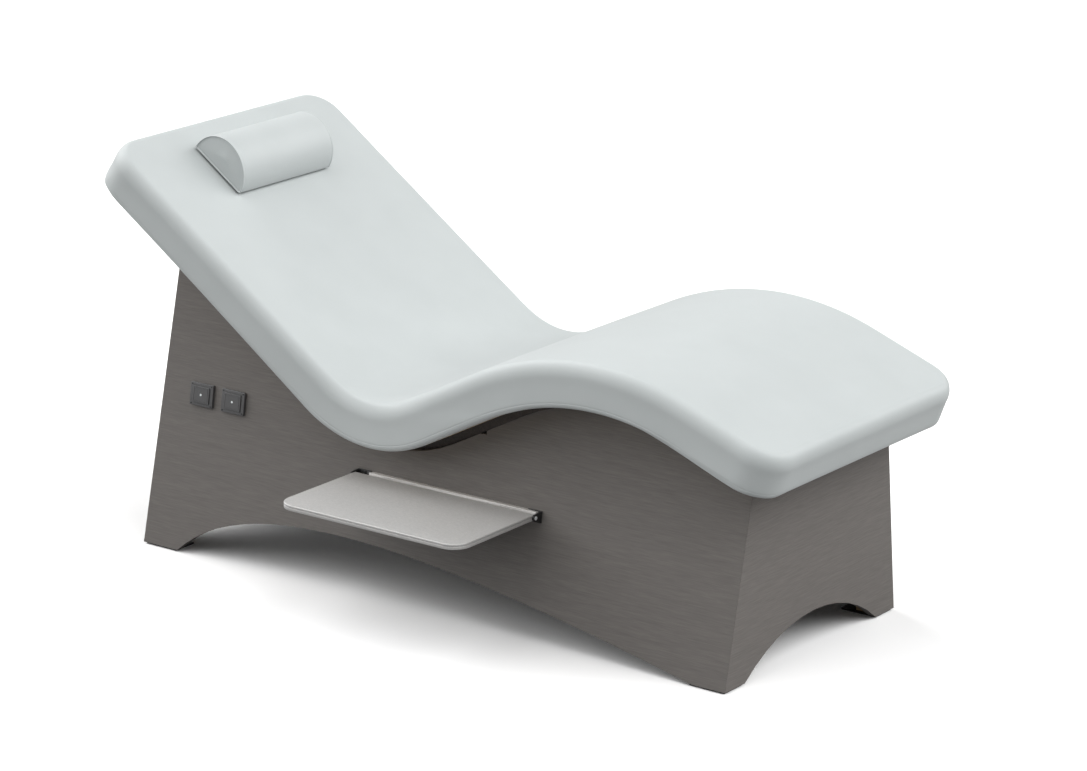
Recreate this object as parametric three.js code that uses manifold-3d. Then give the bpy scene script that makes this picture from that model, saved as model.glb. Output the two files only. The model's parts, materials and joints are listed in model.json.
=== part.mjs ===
// Spa relaxation lounger: an upholstered pad bent in a wave, on a box of four leaning boards, with a loose
// half-round head bolster, a folding side shelf and two switches for the heated zones of the pad.
// Millimetres. X runs along the lounger to its foot end, Z is up, and the shelf is on the -Y side (near side).
import * as THREE from "three";
import { mergeVertices } from "three/addons/utils/BufferGeometryUtils.js";
import Module from "manifold-3d";

const wasm = await Module();
wasm.setup();

const degree = Math.PI / 180;

// Clearances shared by all pieces
const seatGap = 0.3; // air between two pieces that touch
const overrun = 5; // how far a cutter runs past what it cuts

// Lounging line: the pad's top seen from the side, a line of three straight stretches with rounded bends
const seatBendPlace = -109; // where the lines of back and seat meet, along the lounger
const seatBendHeight = 419.5;
const backLength = 847;
const backSlope = 35.1 * degree;
const seatLength = 594.4;
const seatSlope = 27.34 * degree;
const legLength = 520.7;
const legSlope = 20.1 * degree;
const seatBendRadius = 190;
const kneeBendRadius = 655;
const bendSteps = 9;

// Pad
const padWidth = 708;
const padThickness = 100;
const padCornerRadius = 78;
const padTopEdgeRadius = 22;
const padBottomEdgeRadius = 10;
const padCrown = 1.5;
const padCrownRun = 160;
const padDrawIn = 3;
const padRowLength = 180;
const padColumns = 6;
const coverTopThickness = 38; // cover with the comfort foam bonded to it
const coverSideThickness = 25;
const padBoardThickness = 8;
const matThickness = 3;
const matWidth = 460;
const matEndMargin = 110;
const backMatLength = 620;
const legMatLength = 600;

// Deck board on top of the base
const deckThickness = 18;
const deckSideInset = 14; // from the base's outer faces to the deck's edges, at the seat dip
const deckOverhang = 15; // past the base's two ends

// Base of four boards
const baseLength = 1540;
const baseWidth = 622;
const baseBoardThickness = 18;
const sideLean = 9 * degree;
const headLean = 3.7 * degree;
const footLean = 2.3 * degree;
const sideArchHeadMargin = 97; // from the base's head end to the arch, on the floor
const sideArchFootMargin = 80;
const sideArchHeadRun = 157; // from the arch's head end to its first control point
const sideArchHeadRise = 150;
const sideArchFootRun = 832; // from its foot end back to its second control point
const sideArchFootRise = 166;
const sideArchSteps = 22;
const endArchHalfWidth = 241;
const endArchHeight = 86;
const endArchSteps = 12;
const notchDistance = 240; // from the meeting of back and seat to the notch's foot end
const notchLength = 30;
const notchDepth = 8;

// What joins and carries the boards
const glideHeight = 4;
const glideLength = 84;
const glideWidth = 58;
const glideInset = 5;
const blockSide = 38;
const blockHeight = 300;
const railThickness = 18;
const railHeight = 90;
const crossRailHeadInset = 265; // from the base's head end, on the floor
const crossRailSeatDistance = 14; // from the meeting of back and seat
const crossRailKneeDistance = 459;
const crossRailFootInset = 150; // from the base's foot end, on the floor
const baseHead = -baseLength / 2;
const baseFoot = baseLength / 2;
const crossRailPlaces = {
  back_rail: baseHead + crossRailHeadInset,
  seat_rail: seatBendPlace + crossRailSeatDistance,
  knee_rail: seatBendPlace + crossRailKneeDistance,
  leg_rail: baseFoot - crossRailFootInset,
};

// Bolts that hold the pad to the deck
const boltRadius = 4;
const boltHeadRadius = 8;
const boltHeadHeight = 5;
const boltHoleClearance = 0.3;
const boltPanelMargin = 92; // from the end panels, along the deck
const boltSideOffset = 150;
const boltSides = 16;

// Head bolster
const bolsterRadius = 75;
const bolsterLength = 297;
const bolsterPlace = 154;
const bolsterEdgeRadius = 5;
const bolsterEndCrown = 3;
const bolsterBaseRadius = 1.5;
const bolsterSteps = 18;
const gripThickness = 2;
const gripInset = 5;

// Folding shelf, level in its resting place
const shelfLength = 472;
const shelfDistance = 158; // from the meeting of back and seat to the shelf's middle
const shelfDepth = 254.5;
const shelfThickness = 12;
const shelfTopHeight = 272;
const shelfRearDistance = 18; // from the panel's face to the shelf's rear edge, level
const shelfCornerRadius = 40;
const shelfRearCornerRadius = 4;
const shelfEdgeRadius = 3;
const shelfSheet = 1.5;
const shelfHem = 4;
const pivotInset = 5; // from the shelf's rear edge to the pivot line

// Hinge of the shelf
const pinRadius = 3;
const pinRunningClearance = 0.1;
const pinDepthInShelf = 18;
const pinHeadRadius = 4.2;
const pinHeadHeight = 1.4;
const pinSides = 24;
const bracketSideGap = 0.6;
const bracketThickness = 4;
const bracketFlange = 3;
const bracketFlangeWidth = 30;
const bracketReachUp = 12;
const bracketReachDown = 13;
const bracketNoseRadius = 7;
const bracketScrewSpread = 13;
const screwRadius = 1.8;
const screwHeadRadius = 3.4;
const screwHeadHeight = 1.8;
const screwLength = 15;
const screwHoleClearance = 0.25;
const screwSides = 12;

// Metal rail on the panel behind the shelf's rear edge
const wallRailStartGap = 5.6; // from the left bracket's flange
const wallRailEndGap = 1.8; // from the shelf's right end
const wallRailHeight = 12;
const wallRailLift = 4.5; // how far its middle lies above the pivot line
const wallRailSweepGap = 0.8; // air left to the shelf's rear edge as it turns
const wallRailLeftScrewInset = 60;
const wallRailRightScrewInset = 84;

// The two switches
const switchHeadInset = 136; // from the base's head end, on the floor, to the first switch
const switchPitch = 89;
const switchPlaces = [baseHead + switchHeadInset, baseHead + switchHeadInset + switchPitch];
const switchHeight = 351; // along the leaning panel
const frameWidth = 64;
const frameHeight = 50;
const frameProud = 6.5;
const frameCornerRadius = 2;
const keyWidth = 46;
const keyHeight = 36;
const keyProud = 2.2;
const keyThickness = 6.5;
const keyCornerRadius = 1.5;
const keyClearance = 0.4;
const keyStemWidth = 30;
const keyStemHeight = 20;
const keyStemLength = 10;
const lightRadius = 2.5;
const lightProud = 0.4;
const lightLength = 3;
const lightSides = 12;
const housingWall = 2;
const housingDepth = 28;
const housingRim = 1.3; // how far the housing's rim lies behind the frame, all round
const springRadius = 5;
const springWireRadius = 0.7;
const springTurns = 5;
const springStepsPerTurn = 8;
const springWireSides = 5;

// Electrics inside the base
const caseWidth = 180;
const caseHeight = 66;
const caseDepth = 46;
const caseWall = 2.5;
const caseDrop = 14; // from the seat rail's top to the case's top
const casePost = 6;
const casePostHeight = 8;
const circuitMargin = 5;
const circuitThickness = 1.6;
const inletHeight = 190;
const inletFlangeWidth = 50;
const inletFlangeHeight = 31;
const inletFlangeThickness = 2.5;
const inletBodyWidth = 44;
const inletBodyHeight = 25;
const inletBodyDepth = 24;
const socketWidth = 25;
const socketHeight = 17;
const socketDepth = 16;
const leadRadius = 3;
const leadSides = 8;
const leadHoleClearance = 1;
const leadStepLength = 14;
const leadStub = 14; // straight stretch where a lead leaves its outlet
const leadCaseStub = 40; // straight stretch into the case
const leadWallGap = 0.5;
const leadBendLength = 26; // how far before a corner a lead starts to turn
const leadBendShare = 0.4; // but no more than this share of the stretch next to the corner
const backLeadSide = 40; // across the lounger, from its middle
const legLeadSide = -60;
const leadSlack = 1; // air between a heating mat and the end of its lead
const mainsLeadInset = 210; // from the base's head end to where the mains lead comes to the far panel
const leadRunEndDistance = 245; // from the seat rail back to where the leads leave the side panels
const switchLeadRun = 60; // from a switch to where its lead comes to the near panel
const switchLeadDrop = 60; // how far under the first switch its lead runs
const switchLeadLift = 16; // how much higher the second one's runs
const switchLeadSpread = 20; // between the two leads at the case
const legLeadDrop = 20; // from the seat rail's underside to the lead under it
const legLeadTurn = 35; // from the seat rail's middle to where that lead is level

// Colours, roughness and metalness of the materials
const materials = {
  laminate: { color: 0x67635f, roughness: 0.6, metalness: 0 },
  upholstery: { color: 0xd5dbda, roughness: 0.55, metalness: 0 },
  foam: { color: 0xe6dfc4, roughness: 0.95, metalness: 0 },
  plywood: { color: 0xb99a6b, roughness: 0.7, metalness: 0 },
  darkBoard: { color: 0x3a3a3c, roughness: 0.7, metalness: 0 },
  heatingMat: { color: 0xb5482e, roughness: 0.7, metalness: 0 },
  brushedSteel: { color: 0xbebbb8, roughness: 0.35, metalness: 1 },
  blackMetal: { color: 0x2a2a2a, roughness: 0.5, metalness: 0.6 },
  screwSteel: { color: 0xc8c8c8, roughness: 0.3, metalness: 1 },
  darkPlastic: { color: 0x55565a, roughness: 0.45, metalness: 0 },
  blackPlastic: { color: 0x222224, roughness: 0.5, metalness: 0 },
  light: { color: 0xffffff, roughness: 0.2, metalness: 0 },
  circuit: { color: 0x2f6b43, roughness: 0.6, metalness: 0 },
  rubber: { color: 0x1d1d1d, roughness: 0.9, metalness: 0 },
};
const materialOf = Object.fromEntries(
  Object.entries(materials).map(([name, look]) => [name, new THREE.MeshStandardMaterial(look)]),
);

// Closed meshes and booleans

// Keeps only shared positions, so that the mesh is one closed surface.
function closedGeometry(geometry) {
  const bare = geometry.clone();
  bare.deleteAttribute("normal");
  bare.deleteAttribute("uv");
  return mergeVertices(bare);
}

// A geometry of points and triangles, turned so that its faces point outwards.
function solidGeometry(points, triangles) {
  let volume = 0;
  for (const [a, b, c] of triangles) {
    volume += points[a].dot(new THREE.Vector3().crossVectors(points[b], points[c]));
  }
  const outward = volume > 0 ? triangles : triangles.map(([a, b, c]) => [a, c, b]);
  const geometry = new THREE.BufferGeometry().setFromPoints(points);
  geometry.setIndex(outward.flat());
  return geometry;
}

function manifoldOf(geometry) {
  const closed = closedGeometry(geometry);
  return new wasm.Manifold(
    new wasm.Mesh({
      numProp: 3,
      vertProperties: new Float32Array(closed.attributes.position.array),
      triVerts: new Uint32Array(closed.index.array),
    }),
  );
}

function geometryOf(solid) {
  const mesh = solid.getMesh();
  const geometry = new THREE.BufferGeometry();
  geometry.setAttribute("position", new THREE.BufferAttribute(new Float32Array(mesh.vertProperties), 3));
  geometry.setIndex(new THREE.BufferAttribute(new Uint32Array(mesh.triVerts), 1));
  return geometry;
}

function cutFrom(geometry, ...cutters) {
  const rest = cutters.reduce((solid, cutter) => solid.subtract(manifoldOf(cutter)), manifoldOf(geometry));
  return geometryOf(rest);
}

function joined(...geometries) {
  return geometryOf(geometries.map(manifoldOf).reduce((sum, solid) => sum.add(solid)));
}

// A closed body between two outlines of as many points; lookAlong is the axis that both ends face.
function loft(first, second, lookAlong) {
  const flat = (p) =>
    lookAlong === "x"
      ? new THREE.Vector2(p.y, p.z)
      : lookAlong === "y"
        ? new THREE.Vector2(p.x, p.z)
        : new THREE.Vector2(p.x, p.y);
  const capOf = (outline) => {
    const contour = outline.map(flat);
    const turn = Math.sign(THREE.ShapeUtils.area(contour));
    return THREE.ShapeUtils.triangulateShape(contour, []).map(([a, b, c]) => {
      const same = Math.sign(THREE.ShapeUtils.area([contour[a], contour[b], contour[c]])) === turn;
      return same ? [a, b, c] : [a, c, b];
    });
  };
  const count = first.length;
  const triangles = [];
  for (const [a, b, c] of capOf(first)) triangles.push([a, b, c]);
  for (const [a, b, c] of capOf(second)) triangles.push([a + count, c + count, b + count]);
  for (let i = 0; i < count; i++) {
    const next = (i + 1) % count;
    triangles.push([next, i, i + count], [next, i + count, next + count]);
  }
  return solidGeometry([...first, ...second], triangles);
}

// A box given by its lowest and highest corner.
function boxBetween(low, high) {
  const size = new THREE.Vector3().subVectors(high, low);
  const middle = new THREE.Vector3().addVectors(low, high).multiplyScalar(0.5);
  return new THREE.BoxGeometry(size.x, size.y, size.z).translate(middle.x, middle.y, middle.z);
}

// A cylinder along local Z from one height to another.
function rod(radius, low, high, sides) {
  return new THREE.CylinderGeometry(radius, radius, high - low, sides)
    .rotateX(Math.PI / 2)
    .translate(0, 0, (low + high) / 2);
}

function roundedRectangle(width, height, radius) {
  const shape = new THREE.Shape();
  const x = width / 2;
  const y = height / 2;
  shape.moveTo(-x + radius, -y);
  shape.lineTo(x - radius, -y);
  shape.absarc(x - radius, -y + radius, radius, -Math.PI / 2, 0);
  shape.lineTo(x, y - radius);
  shape.absarc(x - radius, y - radius, radius, 0, Math.PI / 2);
  shape.lineTo(-x + radius, y);
  shape.absarc(-x + radius, y - radius, radius, Math.PI / 2, Math.PI);
  shape.lineTo(-x, -y + radius);
  shape.absarc(-x + radius, -y + radius, radius, Math.PI, 1.5 * Math.PI);
  return shape;
}

// A plate in the XZ plane, from one distance in front of the face to another (in front is -Y).
function facePlate(shape, back, front) {
  return new THREE.ExtrudeGeometry(shape, { depth: front - back, bevelEnabled: false, curveSegments: 4 })
    .rotateX(Math.PI / 2)
    .translate(0, -back, 0);
}

// The scene graph: everything is placed in one assembly, which is moved to its origin at the end
const assembly = new THREE.Group();

function addMesh(parent, name, geometry, material) {
  const mesh = new THREE.Mesh(geometry, materialOf[material]);
  mesh.name = name;
  parent.add(mesh);
  return mesh;
}

// The wave: straight and round stretches of the lounging line, each with its heading
function waveStretches() {
  const away = (from, slope, length) =>
    new THREE.Vector2(from.x + length * Math.cos(slope), from.y + length * Math.sin(slope));
  const seatBend = new THREE.Vector2(seatBendPlace, seatBendHeight);
  const headCorner = away(seatBend, Math.PI - backSlope, backLength);
  const kneeBend = away(seatBend, seatSlope, seatLength);
  const footCorner = away(kneeBend, -legSlope, legLength);
  const corners = [headCorner, seatBend, kneeBend, footCorner];
  const radii = [seatBendRadius, kneeBendRadius];
  const headings = [-backSlope, seatSlope, -legSlope];
  const stretches = [];
  let start = headCorner.clone();
  let begins = 0;
  for (let i = 0; i < headings.length; i++) {
    const along = new THREE.Vector2(1, 0).rotateAround(new THREE.Vector2(), headings[i]);
    const turn = i < radii.length ? headings[i + 1] - headings[i] : 0;
    const trim = i < radii.length ? radii[i] * Math.tan(Math.abs(turn) / 2) : 0;
    const end = corners[i + 1].clone().addScaledVector(along, -trim);
    const length = start.distanceTo(end);
    stretches.push({ begins, length, start, heading: headings[i], turn: 0 });
    begins += length;
    if (i < radii.length) {
      const radius = radii[i];
      const bend = radius * Math.abs(turn);
      stretches.push({ begins, length: bend, start: end, heading: headings[i], turn, radius });
      begins += bend;
      const onward = new THREE.Vector2(1, 0).rotateAround(new THREE.Vector2(), headings[i + 1]);
      start = corners[i + 1].clone().addScaledVector(onward, trim);
    }
  }
  return stretches;
}
const stretches = waveStretches();
const waveLength = stretches.at(-1).begins + stretches.at(-1).length;

const upFrom = (heading) => new THREE.Vector2(-Math.sin(heading), Math.cos(heading));

// The point of the lounging line at a distance from the head end, with the direction square to the line.
function waveAt(station) {
  const stretch = stretches.findLast((s) => s.begins <= station) ?? stretches[0];
  const on = station - stretch.begins;
  if (stretch.turn === 0) {
    const along = new THREE.Vector2(Math.cos(stretch.heading), Math.sin(stretch.heading));
    return { point: stretch.start.clone().addScaledVector(along, on), up: upFrom(stretch.heading) };
  }
  const side = Math.sign(stretch.turn);
  const middle = stretch.start.clone().addScaledVector(upFrom(stretch.heading), side * stretch.radius);
  const up = upFrom(stretch.heading + (side * on) / stretch.radius);
  return { point: middle.addScaledVector(up, -side * stretch.radius), up };
}

// A point of space by station, sideways place and level above the lounging line.
function wavePoint(station, sideways, level) {
  const { point, up } = waveAt(station);
  return new THREE.Vector3(point.x + up.x * level, sideways, point.y + up.y * level);
}

// Stations from one end to the other, with each step of the bends and no straight gap over the row step.
function stationsBetween(from, to, rowStep = waveLength) {
  const bends = stretches.filter((s) => s.turn !== 0);
  const steps = bends.flatMap((s) =>
    Array.from({ length: bendSteps + 1 }, (_, i) => s.begins + (s.length * i) / bendSteps),
  );
  const fixed = [from, ...steps.filter((s) => s > from && s < to), to];
  const all = [from];
  for (let i = 1; i < fixed.length; i++) {
    const gap = fixed[i] - fixed[i - 1];
    const parts = Math.ceil(gap / rowStep);
    for (let k = 1; k <= parts; k++) all.push(fixed[i - 1] + (gap * k) / parts);
  }
  return all;
}

// The station where the line at a level meets a leaning board face, given as x by height.
function stationOnFace(faceAt, level) {
  let low = 0;
  let high = waveLength;
  for (let i = 0; i < 60; i++) {
    const middle = (low + high) / 2;
    const p = wavePoint(middle, 0, level);
    if (p.x < faceAt(p.z)) low = middle;
    else high = middle;
  }
  return (low + high) / 2;
}

// A slab that follows the wave, with rounded corners in plan, rounded edges and a crown.
function waveSlab(slab) {
  const { from, to, width, top, bottom } = slab;
  const { corner = 0, topEdge = 0, bottomEdge = 0, crown = 0, drawIn = 0, columns = 1, rowStep } = slab;
  const half = width / 2;
  const cornerSteps = corner > 0 ? 5 : 0;
  const edgeSteps = 4;
  const quarter = (i, steps) => (steps ? ((i / steps) * Math.PI) / 2 : 0);

  const rings = [];
  for (let i = 0; i <= (bottomEdge > 0 ? edgeSteps - 1 : 0); i++) {
    const a = bottomEdge > 0 ? quarter(i, edgeSteps - 1) : 0;
    const inset = drawIn + bottomEdge * (1 - Math.sin(a));
    rings.push({ inset, level: bottom + bottomEdge * (1 - Math.cos(a)) });
  }
  for (let i = 0; i <= (topEdge > 0 ? edgeSteps : 0); i++) {
    const a = quarter(i, topEdge > 0 ? edgeSteps : 0);
    rings.push({ inset: topEdge * (1 - Math.cos(a)), level: top - topEdge * (1 - Math.sin(a)) });
  }

  const inner = stationsBetween(from + corner, to - corner, rowStep);
  const edgeOf = (inset) => {
    const radius = Math.max(corner - inset, 0);
    const head = Array.from({ length: cornerSteps }, (_, i) => ({
      s: from + corner - radius * Math.cos(quarter(i, cornerSteps)),
      y: half - corner + radius * Math.sin(quarter(i, cornerSteps)),
    }));
    const foot = head.map((p) => ({ s: from + to - p.s, y: p.y })).reverse();
    const middle = inner.map((s) => ({ s, y: half - inset }));
    if (corner === 0) {
      middle[0].s = from + inset;
      middle[middle.length - 1].s = to - inset;
    }
    return [...head, ...middle, ...foot];
  };
  const rows = edgeOf(0).length;
  const perRing = 2 * rows + 2 * (columns - 1);
  const across = (j) => 1 - (2 * j) / columns;

  const points = [];
  for (const { inset, level } of rings) {
    const edge = edgeOf(inset);
    const last = edge[rows - 1];
    for (const p of edge) points.push(wavePoint(p.s, p.y, level));
    for (let j = 1; j < columns; j++) points.push(wavePoint(last.s, last.y * across(j), level));
    for (const p of edge.toReversed()) points.push(wavePoint(p.s, -p.y, level));
    for (let j = columns - 1; j > 0; j--) points.push(wavePoint(edge[0].s, edge[0].y * across(j), level));
  }

  const triangles = [];
  for (let r = 0; r + 1 < rings.length; r++) {
    for (let i = 0; i < perRing; i++) {
      const a = r * perRing + i;
      const b = r * perRing + ((i + 1) % perRing);
      triangles.push([a, b, b + perRing], [a, b + perRing, a + perRing]);
    }
  }

  // Each end face of the slab is a grid of rows from one long edge to the other.
  const grid = (ring, swell, facing) => {
    const edge = edgeOf(rings[ring].inset);
    const index = edge.map((p, i) =>
      Array.from({ length: columns + 1 }, (_, j) => {
        if (j === 0) return ring * perRing + i;
        if (j === columns) return ring * perRing + 2 * rows + columns - 2 - i;
        if (i === rows - 1) return ring * perRing + rows + j - 1;
        if (i === 0) return ring * perRing + 2 * rows + columns - 1 + (columns - 1 - j);
        const fade = Math.sin((Math.min(p.s - from, to - p.s, padCrownRun) / padCrownRun) * (Math.PI / 2));
        const rise = swell * (1 - across(j) ** 2) * fade;
        points.push(wavePoint(p.s, p.y * across(j), rings[ring].level + rise));
        return points.length - 1;
      }),
    );
    for (let i = 0; i + 1 < rows; i++) {
      for (let j = 0; j < columns; j++) {
        const quad = [index[i][j], index[i + 1][j], index[i + 1][j + 1], index[i][j + 1]];
        const [a, b, c, d] = facing > 0 ? quad : quad.toReversed();
        triangles.push([a, b, c], [a, c, d]);
      }
    }
  };
  grid(0, 0, -1);
  grid(rings.length - 1, crown, 1);
  return solidGeometry(points, triangles);
}

// Levels of the layers under the lounging line
const matTop = -coverTopThickness - seatGap;
const foamTop = matTop - matThickness - seatGap;
const padBoardTop = -padThickness + padBoardThickness;
const foamBottom = padBoardTop + seatGap;
const deckTop = -padThickness - seatGap;
const deckBottom = deckTop - deckThickness;
const baseTop = deckBottom - seatGap;

// Faces of the leaning base boards, by height
const panelFoot = glideHeight + seatGap;
const sideAt = (z) => baseWidth / 2 - Math.tan(sideLean) * (z - panelFoot);
const headAt = (z) => baseHead + Math.tan(headLean) * (z - panelFoot);
const footAt = (z) => baseFoot + Math.tan(footLean) * (z - panelFoot);
const sideBoard = baseBoardThickness / Math.cos(sideLean);
const headBoard = baseBoardThickness / Math.cos(headLean);
const footBoard = baseBoardThickness / Math.cos(footLean);

// Height of the underside of the deck at a place along the lounger
const undersideLine = stationsBetween(0, waveLength).map((s) => wavePoint(s, 0, baseTop));
function undersideAt(x) {
  const i = Math.max(1, undersideLine.findIndex((p) => p.x >= x));
  const a = undersideLine[i - 1];
  const b = undersideLine[i];
  return THREE.MathUtils.mapLinear(x, a.x, b.x, a.z, b.z);
}

// Local frames that lie on the near panel's face and on the head panel's face, Z up along the board
const nearFace = new THREE.Group();
nearFace.position.set(0, -baseWidth / 2, panelFoot);
nearFace.rotation.x = -sideLean;
assembly.add(nearFace);

const headFace = new THREE.Group();
headFace.position.set(baseHead, 0, panelFoot);
headFace.rotation.y = headLean;
assembly.add(headFace);
assembly.updateMatrixWorld(true);

const onNearFace = (x, y, z) => nearFace.localToWorld(new THREE.Vector3(x, y, z));
const inNearFace = (x, y, z) => nearFace.worldToLocal(new THREE.Vector3(x, y, z));

// Shelf places that its bracket, rail and screws follow
const shelfMiddle = seatBendPlace + shelfDistance;
const shelfLeft = shelfMiddle - shelfLength / 2;
const shelfRight = shelfMiddle + shelfLength / 2;
const pivotHeight = shelfTopHeight - shelfThickness / 2;
const shelfRear = -sideAt(pivotHeight) - shelfRearDistance;
const pivotAcross = shelfRear - pivotInset;
const pivotLocal = inNearFace(0, pivotAcross, pivotHeight);

const screwShape = { radius: screwRadius, head: screwHeadRadius, headHeight: screwHeadHeight };

// A countersunk or pan head screw that points along +Y into the face; its head's back lies at y = 0.
function screwBody({ radius, head, headHeight }, length) {
  return joined(
    rod(head, 0, headHeight, screwSides).rotateX(Math.PI / 2),
    rod(radius, -length, headHeight / 2, screwSides).rotateX(Math.PI / 2),
  );
}

function screwHole(length) {
  return rod(screwRadius + screwHoleClearance, -length - seatGap, overrun, screwSides).rotateX(Math.PI / 2);
}

// Where the shelf's screws enter the panel, in the near face's frame
const bracketScrewPlaces = [-1, 1].flatMap((side) => {
  const inner = side < 0 ? shelfLeft - bracketSideGap : shelfRight + bracketSideGap;
  const x = inner - (side * bracketFlangeWidth) / 2;
  const middle = pivotLocal.z + (bracketReachUp - bracketReachDown) / 2;
  return [-1, 1].map((k) => ({ x, z: middle + (k * bracketScrewSpread) / 2 }));
});
const wallRailMiddle = pivotLocal.z + wallRailLift;
const wallRailStart = shelfLeft - bracketSideGap + bracketFlangeWidth + wallRailStartGap;
const wallRailEnd = shelfRight - wallRailEndGap;
const wallRailScrewPlaces = [wallRailStart + wallRailLeftScrewInset, wallRailEnd - wallRailRightScrewInset];

// Base boards

function archCurve() {
  const start = baseHead + sideArchHeadMargin;
  const end = baseFoot - sideArchFootMargin;
  return new THREE.CubicBezierCurve(
    new THREE.Vector2(start, panelFoot),
    new THREE.Vector2(start + sideArchHeadRun, panelFoot + sideArchHeadRise),
    new THREE.Vector2(end - sideArchFootRun, panelFoot + sideArchFootRise),
    new THREE.Vector2(end, panelFoot),
  ).getPoints(sideArchSteps);
}

// The side panel's outline on its outer face (depth 0) or inner face, in X and Z.
function sideOutline(depth) {
  const head = (z) => headAt(z) + seatGap + (depth / sideBoard) * headBoard;
  const foot = (z) => footAt(z) - seatGap - (depth / sideBoard) * footBoard;
  const topStations = stationsBetween(stationOnFace(head, baseTop), stationOnFace(foot, baseTop));
  const top = topStations.toReversed().map((s) => wavePoint(s, 0, baseTop));
  return [
    new THREE.Vector3(head(panelFoot), 0, panelFoot),
    ...archCurve().map((p) => new THREE.Vector3(p.x, 0, p.y)),
    new THREE.Vector3(foot(panelFoot), 0, panelFoot),
    ...top,
  ];
}

function sidePanel(side) {
  const place = (depth) =>
    sideOutline(depth).map((p) => new THREE.Vector3(p.x, side * (sideAt(p.z) - depth), p.z));
  return loft(place(0), place(sideBoard), "y");
}

function endPanel(faceAt, board) {
  const radius = (endArchHalfWidth ** 2 + endArchHeight ** 2) / (2 * endArchHeight);
  const reach = Math.asin(endArchHalfWidth / radius);
  const arch = Array.from({ length: endArchSteps + 1 }, (_, i) => {
    const a = reach * ((2 * i) / endArchSteps - 1);
    return [radius * Math.sin(a), panelFoot + endArchHeight - radius * (1 - Math.cos(a))];
  });
  const outline = (depth) => {
    const face = (z) => faceAt(z) + depth * board;
    const topHeight = wavePoint(stationOnFace(face, baseTop), 0, baseTop).z;
    const half = (z) => sideAt(z) - depth * sideBoard;
    return [
      [-half(panelFoot), panelFoot],
      ...arch,
      [half(panelFoot), panelFoot],
      [half(topHeight), topHeight],
      [-half(topHeight), topHeight],
    ].map(([y, z]) => new THREE.Vector3(face(z), y, z));
  };
  return loft(outline(0), outline(1), "x");
}

const housingOuterWidth = keyWidth + 2 * keyClearance + 2 * housingRim;
const housingOuterHeight = keyHeight + 2 * keyClearance + 2 * housingRim;

function nearPanel() {
  const inPlace = (geometry, x, z) => geometry.translate(x, 0, z).applyMatrix4(nearFace.matrixWorld);
  const cutters = [];
  for (const x of switchPlaces) {
    const width = housingOuterWidth + 2 * seatGap;
    const height = housingOuterHeight + 2 * seatGap;
    const hole = new THREE.BoxGeometry(width, 2 * (baseBoardThickness + overrun), height);
    cutters.push(inPlace(hole, x, switchHeight));
  }
  for (const { x, z } of bracketScrewPlaces) cutters.push(inPlace(screwHole(screwLength), x, z));
  for (const x of wallRailScrewPlaces) cutters.push(inPlace(screwHole(screwLength), x, wallRailMiddle));
  const notchPlace = seatBendPlace + notchDistance;
  const notchFloor = undersideAt(notchPlace) - notchDepth;
  cutters.push(
    boxBetween(
      new THREE.Vector3(notchPlace - notchLength, -baseWidth, notchFloor),
      new THREE.Vector3(notchPlace, 0, undersideAt(notchPlace) + overrun),
    ),
  );
  return cutFrom(sidePanel(-1), ...cutters);
}

function headPanel() {
  const hole = new THREE.BoxGeometry(
    2 * (baseBoardThickness + overrun),
    inletBodyWidth + 2 * seatGap,
    inletBodyHeight + 2 * seatGap,
  );
  hole.translate(0, 0, inletHeight).applyMatrix4(headFace.matrixWorld);
  return cutFrom(endPanel(headAt, headBoard), hole);
}

function addBase() {
  addMesh(assembly, "near_side_panel", nearPanel(), "laminate");
  addMesh(assembly, "far_side_panel", sidePanel(1), "laminate");
  addMesh(assembly, "head_end_panel", headPanel(), "laminate");
  addMesh(assembly, "foot_end_panel", endPanel(footAt, -footBoard), "laminate");
}

// Corner blocks and floor glides

function addCorner(sideName, endName) {
  const side = sideName === "near" ? -1 : 1;
  const inward = endName === "head" ? 1 : -1;
  const face = endName === "head" ? headAt : footAt;
  const board = endName === "head" ? headBoard : footBoard;
  const quad = (z) => {
    const x = (u) => face(z) + inward * (board + seatGap + u);
    const y = (v) => side * (sideAt(z) - sideBoard - seatGap - v);
    return [
      new THREE.Vector3(x(0), y(0), z),
      new THREE.Vector3(x(blockSide), y(0), z),
      new THREE.Vector3(x(blockSide), y(blockSide), z),
      new THREE.Vector3(x(0), y(blockSide), z),
    ];
  };
  const block = loft(quad(panelFoot), quad(panelFoot + blockHeight), "z");
  addMesh(assembly, `corner_block_${sideName}_${endName}`, block, "plywood");

  const outerX = face(panelFoot) + inward * glideInset;
  const outerY = side * (sideAt(panelFoot) - glideInset);
  const glide = new THREE.BoxGeometry(glideLength, glideWidth, glideHeight).translate(
    outerX + (inward * glideLength) / 2,
    outerY - (side * glideWidth) / 2,
    glideHeight / 2,
  );
  addMesh(assembly, `floor_glide_${sideName}_${endName}`, glide, "blackPlastic");
}

function railBottom(x) {
  return Math.min(undersideAt(x - railThickness / 2), undersideAt(x + railThickness / 2)) - railHeight;
}

// Cross rails between the side panels, their top edge cut to the deck's slope
function addCrossRail(name, x) {
  const start = x - railThickness / 2;
  const end = x + railThickness / 2;
  const bottom = railBottom(x);
  const between = undersideLine.filter((p) => p.x > start && p.x < end).map((p) => [p.x, p.z]);
  const outline = [
    [start, bottom],
    [end, bottom],
    [end, undersideAt(end)],
    ...between.toReversed(),
    [start, undersideAt(start)],
  ];
  const atSide = (side) =>
    outline.map(([px, pz]) => new THREE.Vector3(px, side * (sideAt(pz) - sideBoard - seatGap), pz));
  addMesh(assembly, name, loft(atSide(-1), atSide(1), "y"), "plywood");
}

// Deck and pad

// Leads of the heating mats go down through the foam and both boards, square to the wave
const matLeads = {
  back: { station: matEndMargin + backMatLength - leadStub, sideways: backLeadSide },
  leg: { station: waveLength - matEndMargin - legMatLength + leadStub, sideways: legLeadSide },
};

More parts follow.
